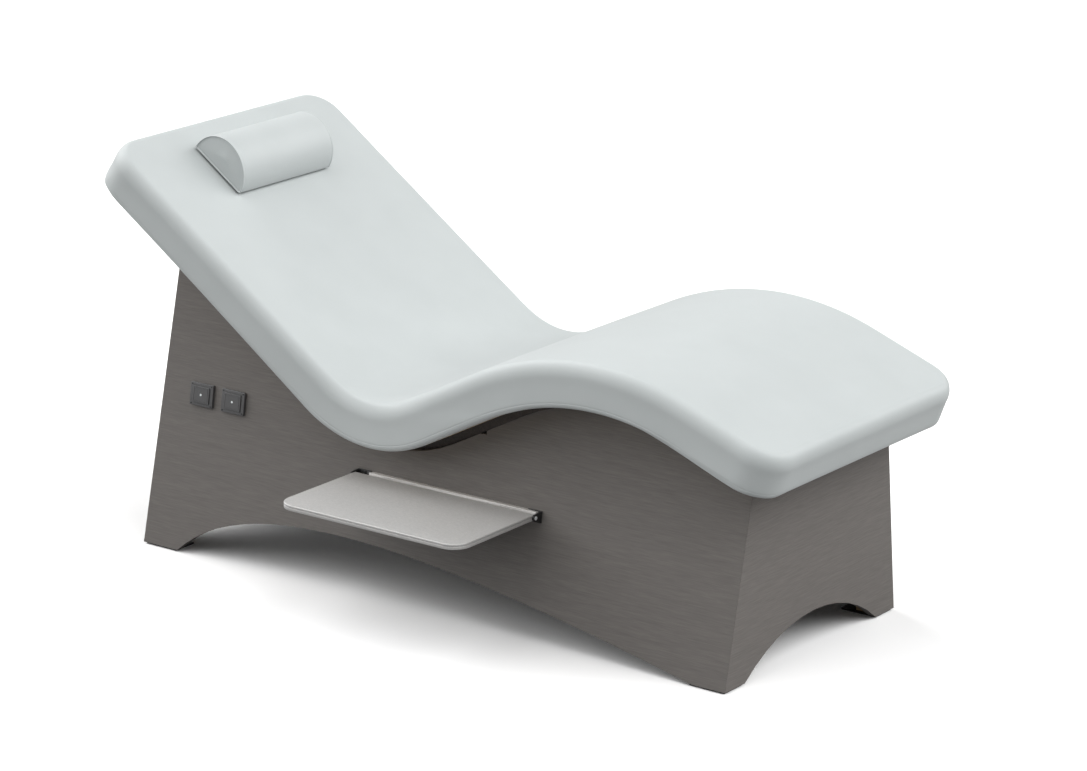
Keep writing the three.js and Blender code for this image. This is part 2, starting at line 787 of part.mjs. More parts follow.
// A group whose Z axis stands square on the wave at a station.
function onWave(station, sideways, level) {
  const frame = new THREE.Group();
  frame.position.copy(wavePoint(station, sideways, level));
  const { up } = waveAt(station);
  frame.rotation.y = Math.atan2(up.x, up.y);
  frame.updateMatrixWorld(true);
  return frame;
}

const deckHead = stationOnFace(headAt, baseTop);
const deckFoot = stationOnFace(footAt, baseTop);
const boltPlaces = [deckHead + boltPanelMargin, deckFoot - boltPanelMargin].flatMap((station) =>
  [-boltSideOffset, boltSideOffset].map((sideways) => ({ station, sideways })),
);

// Holes through the boards under the pad, from one level to another.
function downHoles(places, radius, low, high, sides) {
  return places.map(({ station, sideways }) =>
    rod(radius, low, high, sides).applyMatrix4(onWave(station, sideways, 0).matrixWorld),
  );
}

function leadHoles(low, high) {
  return downHoles(Object.values(matLeads), leadRadius + leadHoleClearance, low, high, leadSides);
}

function boltHoles(low, high) {
  return downHoles(boltPlaces, boltRadius + boltHoleClearance, low, high, boltSides);
}

function addDeckAndPad() {
  const from = deckHead - deckOverhang;
  const to = deckFoot + deckOverhang;
  const width = 2 * (sideAt(Math.min(...undersideLine.map((p) => p.z))) - deckSideInset);
  const deck = waveSlab({ from, to, width, top: deckTop, bottom: deckBottom });
  const deckHoles = [
    ...leadHoles(deckBottom - overrun, deckTop + overrun),
    ...boltHoles(deckBottom - overrun, deckTop + overrun),
  ];
  addMesh(assembly, "deck_board", cutFrom(deck, ...deckHoles), "darkBoard");

  const pocket = {
    from: coverSideThickness,
    to: waveLength - coverSideThickness,
    width: padWidth - 2 * coverSideThickness,
    corner: padCornerRadius - coverSideThickness,
  };
  const inside = {
    from: pocket.from + seatGap,
    to: pocket.to - seatGap,
    width: pocket.width - 2 * seatGap,
    corner: pocket.corner - seatGap,
  };
  const board = waveSlab({ ...inside, top: padBoardTop, bottom: -padThickness });
  const boardHoles = [
    ...leadHoles(-padThickness - overrun, padBoardTop + overrun),
    ...boltHoles(-padThickness - overrun, padBoardTop + overrun),
  ];
  addMesh(assembly, "pad_board", cutFrom(board, ...boardHoles), "plywood");

  const foam = waveSlab({ ...inside, top: foamTop, bottom: foamBottom });
  addMesh(assembly, "pad_foam", cutFrom(foam, ...leadHoles(foamBottom - overrun, foamTop + overrun)), "foam");

  const mat = { width: matWidth, top: matTop, bottom: matTop - matThickness };
  const backMat = { ...mat, from: matEndMargin, to: matEndMargin + backMatLength };
  const legMat = { ...mat, from: waveLength - matEndMargin - legMatLength, to: waveLength - matEndMargin };
  addMesh(assembly, "back_heating_mat", waveSlab(backMat), "heatingMat");
  addMesh(assembly, "leg_heating_mat", waveSlab(legMat), "heatingMat");

  const cover = waveSlab({
    from: 0,
    to: waveLength,
    width: padWidth,
    top: 0,
    bottom: -padThickness,
    corner: padCornerRadius,
    topEdge: padTopEdgeRadius,
    bottomEdge: padBottomEdgeRadius,
    crown: padCrown,
    drawIn: padDrawIn,
    columns: padColumns,
    rowStep: padRowLength,
  });
  const hollow = waveSlab({ ...pocket, top: -coverTopThickness, bottom: -padThickness - overrun });
  addMesh(assembly, "pad_cover", cutFrom(cover, hollow), "upholstery");
}

function addPadBolts() {
  boltPlaces.forEach(({ station, sideways }, i) => {
    const frame = onWave(station, sideways, 0);
    assembly.add(frame);
    const seat = deckBottom - seatGap;
    const bolt = joined(
      rod(boltHeadRadius, seat - boltHeadHeight, seat, boltSides),
      rod(boltRadius, seat - boltHeadHeight / 2, padBoardTop - seatGap, boltSides),
    );
    addMesh(frame, `pad_bolt_${i + 1}`, bolt, "screwSteel");
  });
}

// Head bolster: half-round cushion lying on the back with its grip pad
function addBolster() {
  const frame = onWave(bolsterPlace, 0, padCrown + seatGap);
  assembly.add(frame);
  const gripWidth = 2 * (bolsterRadius - gripInset);
  const gripLength = bolsterLength - 2 * gripInset;
  const grip = new THREE.BoxGeometry(gripWidth, gripLength, gripThickness).translate(0, 0, gripThickness / 2);
  addMesh(frame, "bolster_grip_pad", grip, "rubber");

  // Half circle over a flat side whose two corners are eased
  const base = gripThickness + seatGap;
  const ease = Math.asin(bolsterBaseRadius / bolsterRadius);
  const profile = Array.from({ length: bolsterSteps + 1 }, (_, i) => {
    const a = ease + ((Math.PI - 2 * ease) * i) / bolsterSteps;
    return new THREE.Vector2(bolsterRadius * Math.cos(a), bolsterRadius * Math.sin(a));
  });
  const flatHalf = bolsterRadius - bolsterBaseRadius;
  const flat = [-flatHalf, 0, flatHalf].map((x) => new THREE.Vector2(x, 0));
  const outline = [...profile, ...flat];
  const half = bolsterLength / 2;
  const edgeSteps = 3;
  const endRings = Array.from({ length: edgeSteps + 1 }, (_, i) => {
    const a = ((i / edgeSteps) * Math.PI) / 2;
    return {
      inset: bolsterEdgeRadius * (1 - Math.sin(a)),
      y: half - bolsterEdgeRadius * (1 - Math.cos(a)),
    };
  });
  const rings = [...endRings, ...endRings.map((r) => ({ inset: r.inset, y: -r.y })).reverse()];
  const centre = new THREE.Vector2(0, bolsterRadius / 2);
  const points = rings.flatMap(({ inset, y }) =>
    outline.map((p) => {
      const off = p.clone().sub(centre).multiplyScalar(1 - inset / bolsterRadius);
      return new THREE.Vector3(centre.x + off.x, y, base + Math.max(centre.y + off.y, 0));
    }),
  );
  const count = outline.length;
  const triangles = [];
  for (let r = 0; r + 1 < rings.length; r++) {
    for (let i = 0; i < count; i++) {
      const a = r * count + i;
      const b = r * count + ((i + 1) % count);
      triangles.push([a, b, b + count], [a, b + count, a + count]);
    }
  }
  const nearCap = points.push(new THREE.Vector3(centre.x, half + bolsterEndCrown, base + centre.y)) - 1;
  const farCap = points.push(new THREE.Vector3(centre.x, -half - bolsterEndCrown, base + centre.y)) - 1;
  const lastRing = (rings.length - 1) * count;
  for (let i = 0; i < count; i++) {
    const next = (i + 1) % count;
    triangles.push([nearCap, next, i], [farCap, lastRing + i, lastRing + next]);
  }
  addMesh(frame, "bolster_cushion", solidGeometry(points, triangles), "upholstery");
}

// Folding shelf

function shelfPlan(inset) {
  const shape = new THREE.Shape();
  const left = shelfLeft + inset;
  const right = shelfRight - inset;
  const rear = shelfRear - inset;
  const front = shelfRear - shelfDepth + inset;
  const big = shelfCornerRadius - inset;
  const small = Math.max(shelfRearCornerRadius - inset, shelfRearCornerRadius / 8);
  shape.moveTo(left + big, front);
  shape.lineTo(right - big, front);
  shape.absarc(right - big, front + big, big, -Math.PI / 2, 0);
  shape.lineTo(right, rear - small);
  shape.absarc(right - small, rear - small, small, 0, Math.PI / 2);
  shape.lineTo(left + small, rear);
  shape.absarc(left + small, rear - small, small, Math.PI / 2, Math.PI);
  shape.lineTo(left, front + big);
  shape.absarc(left + big, front + big, big, Math.PI, 1.5 * Math.PI);
  return shape;
}

function pinAlongX(radius, from, to) {
  return rod(radius, from, to, pinSides).rotateY(Math.PI / 2).translate(0, pivotAcross, pivotHeight);
}

function addShelf() {
  const bottom = shelfTopHeight - shelfThickness;
  const slab = new THREE.ExtrudeGeometry(shelfPlan(shelfEdgeRadius), {
    depth: shelfThickness - 2 * shelfEdgeRadius,
    bevelThickness: shelfEdgeRadius,
    bevelSize: shelfEdgeRadius,
    bevelSegments: 3,
    curveSegments: 6,
  }).translate(0, 0, bottom + shelfEdgeRadius);
  const plain = { bevelEnabled: false, curveSegments: 6 };
  const pocketHeight = shelfThickness - shelfSheet;
  const pocket = new THREE.ExtrudeGeometry(shelfPlan(shelfHem), { ...plain, depth: pocketHeight + overrun });
  pocket.translate(0, 0, bottom - overrun);
  const holeRadius = pinRadius + seatGap;
  const holes = [
    pinAlongX(holeRadius, shelfLeft - overrun, shelfLeft + pinDepthInShelf + seatGap),
    pinAlongX(holeRadius, shelfRight - pinDepthInShelf - seatGap, shelfRight + overrun),
  ];
  addMesh(assembly, "shelf_top", cutFrom(slab, pocket, ...holes), "brushedSteel");

  const coreHeight = pocketHeight - 2 * seatGap;
  const core = new THREE.ExtrudeGeometry(shelfPlan(shelfHem + seatGap), { ...plain, depth: coreHeight });
  core.translate(0, 0, bottom + seatGap);
  addMesh(assembly, "shelf_core", cutFrom(core, ...holes), "darkBoard");

  const outer = bracketSideGap + bracketThickness + seatGap;
  for (const [name, side, end] of [
    ["left", -1, shelfLeft],
    ["right", 1, shelfRight],
  ]) {
    const at = (u) => end + side * u;
    const span = (a, b) => [Math.min(at(a), at(b)), Math.max(at(a), at(b))];
    const pin = joined(
      pinAlongX(pinRadius, ...span(-pinDepthInShelf, outer + pinHeadHeight / 2)),
      pinAlongX(pinHeadRadius, ...span(outer, outer + pinHeadHeight)),
    );
    addMesh(assembly, `shelf_pivot_pin_${name}`, pin, "screwSteel");
  }
}

// A bracket: a flange on the panel and a cheek that carries the pivot pin
function addBracket(name, side) {
  const inner = (side < 0 ? shelfLeft : shelfRight) + side * bracketSideGap;
  const low = pivotLocal.z - bracketReachDown;
  const high = pivotLocal.z + bracketReachUp;
  const cheek = new THREE.Shape();
  cheek.moveTo(-seatGap, low);
  cheek.lineTo(-seatGap, high);
  cheek.lineTo(pivotLocal.y, pivotLocal.z + bracketNoseRadius);
  cheek.absarc(pivotLocal.y, pivotLocal.z, bracketNoseRadius, Math.PI / 2, 1.5 * Math.PI);
  const bore = new THREE.Path();
  bore.absarc(pivotLocal.y, pivotLocal.z, pinRadius + pinRunningClearance, 0, 2 * Math.PI);
  cheek.holes.push(bore);
  const plate = new THREE.ExtrudeGeometry(cheek, {
    depth: bracketThickness,
    bevelEnabled: false,
    curveSegments: pinSides / 2,
  });
  plate.rotateY(Math.PI / 2).rotateX(Math.PI / 2);
  plate.translate(side < 0 ? inner - bracketThickness : inner, 0, 0);
  const flangeEnd = inner - side * bracketFlangeWidth;
  const outerEnd = inner + (side * bracketThickness) / 2;
  const flange = boxBetween(
    new THREE.Vector3(Math.min(flangeEnd, outerEnd), -seatGap - bracketFlange, low),
    new THREE.Vector3(Math.max(flangeEnd, outerEnd), -seatGap, high),
  );
  const holes = bracketScrewPlaces.map(({ x, z }) =>
    rod(screwRadius + screwHoleClearance, -overrun, bracketFlange + overrun, screwSides)
      .rotateX(Math.PI / 2)
      .translate(x, 0, z),
  );
  addMesh(nearFace, `shelf_bracket_${name}`, cutFrom(joined(plate, flange), ...holes), "blackMetal");
}

function addWallRail() {
  const sweep = Math.hypot(pivotInset, shelfThickness / 2 - shelfEdgeRadius / 2);
  const front = pivotLocal.y + sweep + wallRailSweepGap;
  const low = wallRailMiddle - wallRailHeight / 2;
  const high = wallRailMiddle + wallRailHeight / 2;
  const bar = boxBetween(
    new THREE.Vector3(wallRailStart, front, low),
    new THREE.Vector3(wallRailEnd, -seatGap, high),
  );
  const flangeStart = shelfRight + bracketSideGap - bracketFlangeWidth - seatGap;
  const room = boxBetween(
    new THREE.Vector3(flangeStart, -bracketFlange - screwHeadHeight - 3 * seatGap, low - overrun),
    new THREE.Vector3(wallRailEnd + overrun, overrun, high + overrun),
  );
  const bores = wallRailScrewPlaces.flatMap((x) => [
    rod(screwRadius + screwHoleClearance, -overrun, overrun - front, screwSides)
      .rotateX(Math.PI / 2)
      .translate(x, 0, wallRailMiddle),
    rod(screwHeadRadius + screwHoleClearance, 0, overrun, screwSides)
      .rotateX(Math.PI / 2)
      .translate(x, front + screwHeadHeight + seatGap, wallRailMiddle),
  ]);
  addMesh(nearFace, "shelf_wall_rail", cutFrom(bar, room, ...bores), "brushedSteel");
  wallRailScrewPlaces.forEach((x, i) => {
    const seat = front + screwHeadHeight;
    const body = screwBody(screwShape, screwLength - seat);
    const screw = addMesh(nearFace, `wall_rail_screw_${i + 1}`, body, "screwSteel");
    screw.position.set(x, seat, wallRailMiddle);
  });
}

function addBracketScrews() {
  bracketScrewPlaces.forEach(({ x, z }, i) => {
    const seat = -seatGap - bracketFlange - seatGap;
    const screw = addMesh(nearFace, `bracket_screw_${i + 1}`, screwBody(screwShape, screwLength), "screwSteel");
    screw.position.set(x, seat, z);
  });
}

// Switches

class Helix extends THREE.Curve {
  constructor(radius, height, turns) {
    super();
    Object.assign(this, { radius, height, turns });
  }
  getPoint(t) {
    const a = 2 * Math.PI * this.turns * t;
    return new THREE.Vector3(this.radius * Math.cos(a), this.height * t, this.radius * Math.sin(a));
  }
}

function addSwitch(number, x) {
  const frame = new THREE.Group();
  frame.position.set(x, 0, switchHeight);
  nearFace.add(frame);
  const name = (piece) => `switch_${number}_${piece}`;

  const front = seatGap + frameProud;
  const opening = [keyWidth + 2 * keyClearance, keyHeight + 2 * keyClearance, keyCornerRadius + keyClearance];
  const bezel = roundedRectangle(frameWidth, frameHeight, frameCornerRadius);
  bezel.holes.push(roundedRectangle(...opening));
  addMesh(frame, name("frame"), facePlate(bezel, seatGap, front), "darkPlastic");

  const keyFront = front + keyProud;
  const keyBack = keyFront - keyThickness;
  const cap = facePlate(roundedRectangle(keyWidth, keyHeight, keyCornerRadius), keyBack, keyFront);
  const stem = boxBetween(
    new THREE.Vector3(-keyStemWidth / 2, -keyBack - seatGap, -keyStemHeight / 2),
    new THREE.Vector3(keyStemWidth / 2, -keyBack + keyStemLength, keyStemHeight / 2),
  );
  const lightHole = rod(lightRadius + seatGap, keyFront - lightLength, keyFront + overrun, lightSides);
  const key = cutFrom(joined(cap, stem), lightHole.rotateX(Math.PI / 2));
  addMesh(frame, name("key"), key, "darkPlastic");
  const lightBack = keyFront - lightLength + seatGap;
  const light = rod(lightRadius, lightBack, keyFront + lightProud, lightSides).rotateX(Math.PI / 2);
  addMesh(frame, name("light"), light, "light");

  const box = (width, height, from, to) =>
    boxBetween(new THREE.Vector3(-width / 2, from, -height / 2), new THREE.Vector3(width / 2, to, height / 2));
  const housing = cutFrom(
    box(housingOuterWidth, housingOuterHeight, 0, housingDepth),
    box(
      housingOuterWidth - 2 * housingWall,
      housingOuterHeight - 2 * housingWall,
      -overrun,
      housingDepth - housingWall,
    ),
  );
  addMesh(frame, name("housing"), housing, "blackPlastic");

  const springStart = -keyBack + keyStemLength + seatGap + springWireRadius;
  const springEnd = housingDepth - housingWall - seatGap - springWireRadius;
  const wire = new THREE.Shape().absarc(0, 0, springWireRadius, 0, 2 * Math.PI);
  const spring = new THREE.ExtrudeGeometry(wire, {
    steps: springTurns * springStepsPerTurn,
    extrudePath: new Helix(springRadius, springEnd - springStart, springTurns),
    curveSegments: springWireSides,
  }).translate(0, springStart, 0);
  addMesh(frame, name("spring"), closedGeometry(spring), "screwSteel");
}

// Electrics

const seatRailX = crossRailPlaces.seat_rail - railThickness / 2;
const caseTop = Math.min(undersideAt(seatRailX - caseDepth), undersideAt(seatRailX)) - caseDrop;
const caseLow = new THREE.Vector3(seatRailX - seatGap - caseDepth, -caseWidth / 2, caseTop - caseHeight);
const caseHigh = new THREE.Vector3(seatRailX - seatGap, caseWidth / 2, caseTop);

function addControlUnit() {
  const wall = new THREE.Vector3(caseWall, caseWall, caseWall);
  const insideLow = caseLow.clone().add(wall);
  const insideHigh = caseHigh.clone().sub(wall);
  const shell = cutFrom(
    boxBetween(caseLow, caseHigh),
    boxBetween(insideLow, insideHigh.clone().setX(caseHigh.x + overrun)),
  );
  const posts = [-1, 1].flatMap((a) =>
    [-1, 1].map((b) => {
      const y = a * (caseWidth / 2 - caseWall - circuitMargin - casePost);
      const z = (caseLow.z + caseHigh.z) / 2 + b * (caseHeight / 2 - caseWall - circuitMargin - casePost);
      return boxBetween(
        new THREE.Vector3(caseLow.x + caseWall / 2, y - casePost / 2, z - casePost / 2),
        new THREE.Vector3(insideLow.x + casePostHeight, y + casePost / 2, z + casePost / 2),
      );
    }),
  );
  addMesh(assembly, "control_case", joined(shell, ...posts), "blackPlastic");

  const boardBack = insideLow.x + casePostHeight + seatGap;
  const boardFront = boardBack + circuitThickness;
  const card = boxBetween(
    new THREE.Vector3(boardBack, insideLow.y + circuitMargin, insideLow.z + circuitMargin),
    new THREE.Vector3(boardFront, insideHigh.y - circuitMargin, insideHigh.z - circuitMargin),
  );
  // Transformer, relay and terminals, as shares of the card's length, height and free depth
  const chipShares = [
    { along: [0.08, 0.36], up: [0.2, 0.85], deep: 0.8 },
    { along: [0.48, 0.62], up: [0.3, 0.7], deep: 0.5 },
    { along: [0.74, 0.94], up: [0.1, 0.4], deep: 0.4 },
  ];
  const freeDepth = caseHigh.x - boardFront;
  const chips = chipShares.map(({ along, up, deep }) => {
    const { lerp } = THREE.MathUtils;
    const y = (share) => lerp(insideLow.y + circuitMargin, insideHigh.y - circuitMargin, share);
    const z = (share) => lerp(insideLow.z + circuitMargin, insideHigh.z - circuitMargin, share);
    return boxBetween(
      new THREE.Vector3(boardFront - circuitThickness / 2, y(along[0]), z(up[0])),
      new THREE.Vector3(boardFront + freeDepth * deep, y(along[1]), z(up[1])),
    );
  });
  addMesh(assembly, "circuit_board", joined(card, ...chips), "circuit");
}

function addMainsInlet() {
  const block = (width, height, from, to) =>
    boxBetween(
      new THREE.Vector3(from, -width / 2, inletHeight - height / 2),
      new THREE.Vector3(to, width / 2, inletHeight + height / 2),
    );
  const front = -seatGap - inletFlangeThickness;
  const body = joined(
    block(inletFlangeWidth, inletFlangeHeight, front, -seatGap),
    block(inletBodyWidth, inletBodyHeight, front / 2, inletBodyDepth),
  );
  const socket = block(socketWidth, socketHeight, front - overrun, front + socketDepth);
  addMesh(headFace, "mains_inlet", cutFrom(body, socket), "blackPlastic");
}

// Straight stretches between points, with rounded bends.
function leadPath(points) {
  const path = new THREE.CurvePath();
  let from = points[0];
  for (let i = 1; i + 1 < points.length; i++) {
    const [before, corner, after] = points.slice(i - 1, i + 2);
    const toBefore = corner.distanceTo(before);
    const toAfter = corner.distanceTo(after);
    const reach = Math.min(leadBendLength, leadBendShare * toBefore, leadBendShare * toAfter);
    const into = corner.clone().lerp(before, reach / toBefore);
    const out = corner.clone().lerp(after, reach / toAfter);
    path.add(new THREE.LineCurve3(from, into));
    path.add(new THREE.QuadraticBezierCurve3(into, corner, out));
    from = out;
  }
  path.add(new THREE.LineCurve3(from, points.at(-1)));
  return path;
}

function addLead(name, points) {
  const path = leadPath(points);
  const shape = new THREE.Shape().absarc(0, 0, leadRadius, 0, 2 * Math.PI);
  const tube = new THREE.ExtrudeGeometry(shape, {
    steps: Math.ceil(path.getLength() / leadStepLength),
    extrudePath: path,
    curveSegments: leadSides / 2,
  });
  addMesh(assembly, name, closedGeometry(tube), "rubber");
}

function addLeads() {
  const { x: caseX, z: caseZ } = new THREE.Vector3().addVectors(caseLow, caseHigh).multiplyScalar(0.5);
  const out = leadRadius + leadWallGap;

  // Mains: from the inlet along the far panel to the far end of the case
  const inletBack = (distance) =>
    headFace.localToWorld(new THREE.Vector3(inletBodyDepth + distance, 0, inletHeight));
  const level = inletBack(0).z;
  const runEnd = crossRailPlaces.seat_rail - leadRunEndDistance;
  const farInside = (x) => new THREE.Vector3(x, sideAt(level) - sideBoard - out, level);
  addLead("mains_lead", [
    inletBack(seatGap),
    inletBack(leadStub),
    farInside(baseHead + mainsLeadInset),
    farInside(runEnd),
    new THREE.Vector3(caseX, caseHigh.y + leadCaseStub, caseZ),
    new THREE.Vector3(caseX, caseHigh.y + seatGap, caseZ),
  ]);

  // Switches: from each housing along the near panel to the near end of the case
  const run = baseBoardThickness + out;
  switchPlaces.forEach((x, i) => {
    const endX = caseX + (i - 0.5) * switchLeadSpread;
    const height = switchHeight - switchLeadDrop + i * switchLeadLift;
    addLead(`switch_${i + 1}_lead`, [
      onNearFace(x, housingDepth + seatGap, switchHeight),
      onNearFace(x, housingDepth + leadStub, switchHeight),
      onNearFace(x + switchLeadRun, run, height),
      onNearFace(runEnd, run, height),
      new THREE.Vector3(endX, caseLow.y - leadCaseStub, caseZ),
      new THREE.Vector3(endX, caseLow.y - seatGap, caseZ),
    ]);
  });

  // Heating mats: down through the foam and both boards to the case
  const drop = ({ station, sideways }) => [
    wavePoint(station, sideways, foamTop - leadSlack),
    wavePoint(station, sideways, deckBottom - leadBendLength),
  ];
  const backY = matLeads.back.sideways;
  addLead("back_mat_lead", [
    ...drop(matLeads.back),
    new THREE.Vector3(caseLow.x - leadCaseStub, backY, caseZ),
    new THREE.Vector3(caseLow.x - seatGap, backY, caseZ),
  ]);
  const legY = matLeads.leg.sideways;
  const under = railBottom(crossRailPlaces.seat_rail) - legLeadDrop;
  addLead("leg_mat_lead", [
    ...drop(matLeads.leg),
    new THREE.Vector3(crossRailPlaces.seat_rail + legLeadTurn, legY, under),
    new THREE.Vector3(caseX, legY, under),
    new THREE.Vector3(caseX, legY, caseLow.z - seatGap),
  ]);
}

addBase();
for (const sideName of ["near", "far"]) {
  for (const endName of ["head", "foot"]) addCorner(sideName, endName);
}
for (const [name, x] of Object.entries(crossRailPlaces)) addCrossRail(name, x);
addDeckAndPad();
addPadBolts();
addBolster();
addShelf();
addBracket("left", -1);
addBracket("right", 1);
addBracketScrews();
addWallRail();
switchPlaces.forEach((x, i) => addSwitch(i + 1, x));
addControlUnit();
addMainsInlet();
addLeads();

// The origin is on the floor under the middle of the whole outline.
assembly.updateMatrixWorld(true);
const outline = new THREE.Box3().setFromObject(assembly, true);
const middle = outline.getCenter(new THREE.Vector3());
assembly.position.set(-middle.x, -middle.y, -outline.min.z);

const lounger = new THREE.Group();
lounger.add(assembly);

export default lounger;
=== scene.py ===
import json
import math

import bpy
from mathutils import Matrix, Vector


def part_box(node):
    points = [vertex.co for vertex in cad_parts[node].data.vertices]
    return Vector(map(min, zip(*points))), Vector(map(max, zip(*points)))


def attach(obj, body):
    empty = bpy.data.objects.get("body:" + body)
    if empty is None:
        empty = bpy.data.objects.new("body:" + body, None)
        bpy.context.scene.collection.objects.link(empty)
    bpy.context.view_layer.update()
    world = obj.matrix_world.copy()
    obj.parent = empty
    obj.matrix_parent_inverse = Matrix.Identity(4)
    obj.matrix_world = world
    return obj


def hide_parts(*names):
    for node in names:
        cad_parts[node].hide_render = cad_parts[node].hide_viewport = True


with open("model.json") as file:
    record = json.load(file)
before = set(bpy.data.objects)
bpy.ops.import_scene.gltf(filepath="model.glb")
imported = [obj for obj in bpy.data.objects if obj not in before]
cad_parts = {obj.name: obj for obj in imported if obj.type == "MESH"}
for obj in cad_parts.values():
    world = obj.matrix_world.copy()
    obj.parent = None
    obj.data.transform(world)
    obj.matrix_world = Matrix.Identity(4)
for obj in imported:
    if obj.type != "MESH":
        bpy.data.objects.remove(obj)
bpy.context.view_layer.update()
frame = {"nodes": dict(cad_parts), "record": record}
scene = bpy.context.scene
MM = 0.001
SAME = 1e-6  # places nearer than this, in metres, are one

# Camera, solved from the straight edges of the base and of the pad in the photograph

eye = bpy.data.objects.new("camera", bpy.data.cameras.new("camera"))
scene.collection.objects.link(eye)
eye.data.sensor_fit = "HORIZONTAL"
eye.data.sensor_width = 36
eye.data.lens = 133.189
eye.data.clip_end = 60
eye.location = (4.909613, -6.354230, 2.851002)
eye.rotation_euler = (math.radians(73.3586562), 0, math.radians(36.9145788))
scene.camera = eye


# Finishes

def srgb(hex_colour):
    """A #rrggbb colour as linear red, green, blue and alpha."""
    parts = [int(hex_colour[i:i + 2], 16) / 255 for i in (1, 3, 5)]
    return (*[c / 12.92 if c <= 0.04045 else ((c + 0.055) / 1.055) ** 2.4 for c in parts], 1)


def drawn(*sizes):
    """The scale that draws a pattern at a size in millimetres, as Object coordinates are in metres."""
    scales = [1000 / size for size in sizes]
    return scales if len(scales) > 1 else scales[0]


def put(finish, kind, values=None, links=None, stops=(), **settings):
    """Adds a node to a finish: settings are its own, values and links go to its sockets by name or number,
    and stops are a colour ramp's, as pairs of a place and a #rrggbb colour."""
    node = finish.node_tree.nodes.new(kind)
    for name, value in settings.items():
        setattr(node, name, value)
    for socket, value in (values or {}).items():
        node.inputs[socket].default_value = value
    for socket, source in (links or {}).items():
        finish.node_tree.links.new(source, node.inputs[socket])
    for _ in stops[2:]:
        node.color_ramp.elements.new(0.5)
    for i, (place, colour) in enumerate(stops):
        node.color_ramp.elements[i].position = place
        node.color_ramp.elements[i].color = srgb(colour)
    return node


def new_finish(name):
    """An empty finish and the coordinates of the piece that wears it."""
    finish = bpy.data.materials.new(name)
    finish.use_nodes = True
    finish.node_tree.nodes.clear()
    return finish, put(finish, "ShaderNodeTexCoord").outputs["Object"]


def close_finish(finish, colour, roughness, bump, **surface):
    """Ends a finish in its surface shader, from the nodes of its pattern and fixed numbers."""
    values = {name.replace("_", " "): value for name, value in surface.items()}
    links = {"Base Color": colour.outputs[0], "Roughness": roughness.outputs[0], "Normal": bump.outputs[0]}
    shader = put(finish, "ShaderNodeBsdfPrincipled", values, links)
    put(finish, "ShaderNodeOutputMaterial", None, {"Surface": shader.outputs[0]})
    return finish


def wood_laminate(name, lengthwise):
    """High pressure laminate with a printed, lightly pressed oak grain: long fine streaks, dull sheen."""
    finish, place = new_finish(name)
    # streaks 2 mm across and 50 mm long, as fine veneer grain, and faint bands 12.5 mm across
    fine = drawn(50, 2, 2) if lengthwise else drawn(2, 50, 2)
    broad = drawn(417, 12.5, 12.5) if lengthwise else drawn(12.5, 417, 12.5)
    fine_at = put(finish, "ShaderNodeMapping", {"Scale": fine}, {"Vector": place})
    broad_at = put(finish, "ShaderNodeMapping", {"Scale": broad}, {"Vector": place})
    streaks = put(finish, "ShaderNodeTexNoise", {"Scale": 1, "Detail": 6, "Roughness": 0.62},
                  {"Vector": fine_at.outputs[0]})
    bands = put(finish, "ShaderNodeTexNoise", {"Scale": 1, "Detail": 3, "Roughness": 0.5},
                {"Vector": broad_at.outputs[0]})
    # the streaks carry most of the tone, the bands the rest
    faint = put(finish, "ShaderNodeMath", {1: 0.18}, {0: bands.outputs[0]}, operation="MULTIPLY")
    strong = put(finish, "ShaderNodeMath", {1: 0.82}, {0: streaks.outputs[0]}, operation="MULTIPLY")
    grain = put(finish, "ShaderNodeMath", None, {0: faint.outputs[0], 1: strong.outputs[0]}, operation="ADD")
    colour = put(finish, "ShaderNodeValToRGB", None, {0: grain.outputs[0]},
                 stops=((0.34, "#5f5c58"), (0.5, "#66625f"), (0.66, "#6d6965")))
    dull = put(finish, "ShaderNodeMapRange",
               {"From Min": 0.3, "From Max": 0.7, "To Min": 0.62, "To Max": 0.5},
               {"Value": streaks.outputs[0]})
    bump = put(finish, "ShaderNodeBump", {"Strength": 0.12, "Distance": 0.4 * MM},
               {"Height": streaks.outputs[0]})
    return close_finish(finish, colour, dull, bump, IOR=1.5)


def leatherette():
    """Matt pale grey-green leatherette: fine pebbled grain that breaks the light softly, no gloss."""
    finish, place = new_finish("matt_leatherette")
    # the grain's pebbles are 1 mm; drawn 2.2 mm wide, so that they show
    pebbles = put(finish, "ShaderNodeTexVoronoi", {"Scale": drawn(2.2)}, {"Vector": place})
    # the dye is a shade uneven over a hand's breadth
    cloud = put(finish, "ShaderNodeTexNoise", {"Scale": drawn(111), "Detail": 4}, {"Vector": place})
    colour = put(finish, "ShaderNodeValToRGB", None, {0: cloud.outputs[0]},
                 stops=((0.3, "#aeb3b3"), (0.7, "#b1b6b6")))
    dull = put(finish, "ShaderNodeMapRange", {"From Min": 0, "From Max": 0.8, "To Min": 0.58, "To Max": 0.5},
               {"Value": pebbles.outputs["Distance"]})
    bump = put(finish, "ShaderNodeBump", {"Strength": 0.08, "Distance": 0.4 * MM},
               {"Height": pebbles.outputs["Distance"]})
    return close_finish(finish, colour, dull, bump, IOR=1.46, Sheen_Weight=0.12, Sheen_Roughness=0.5)


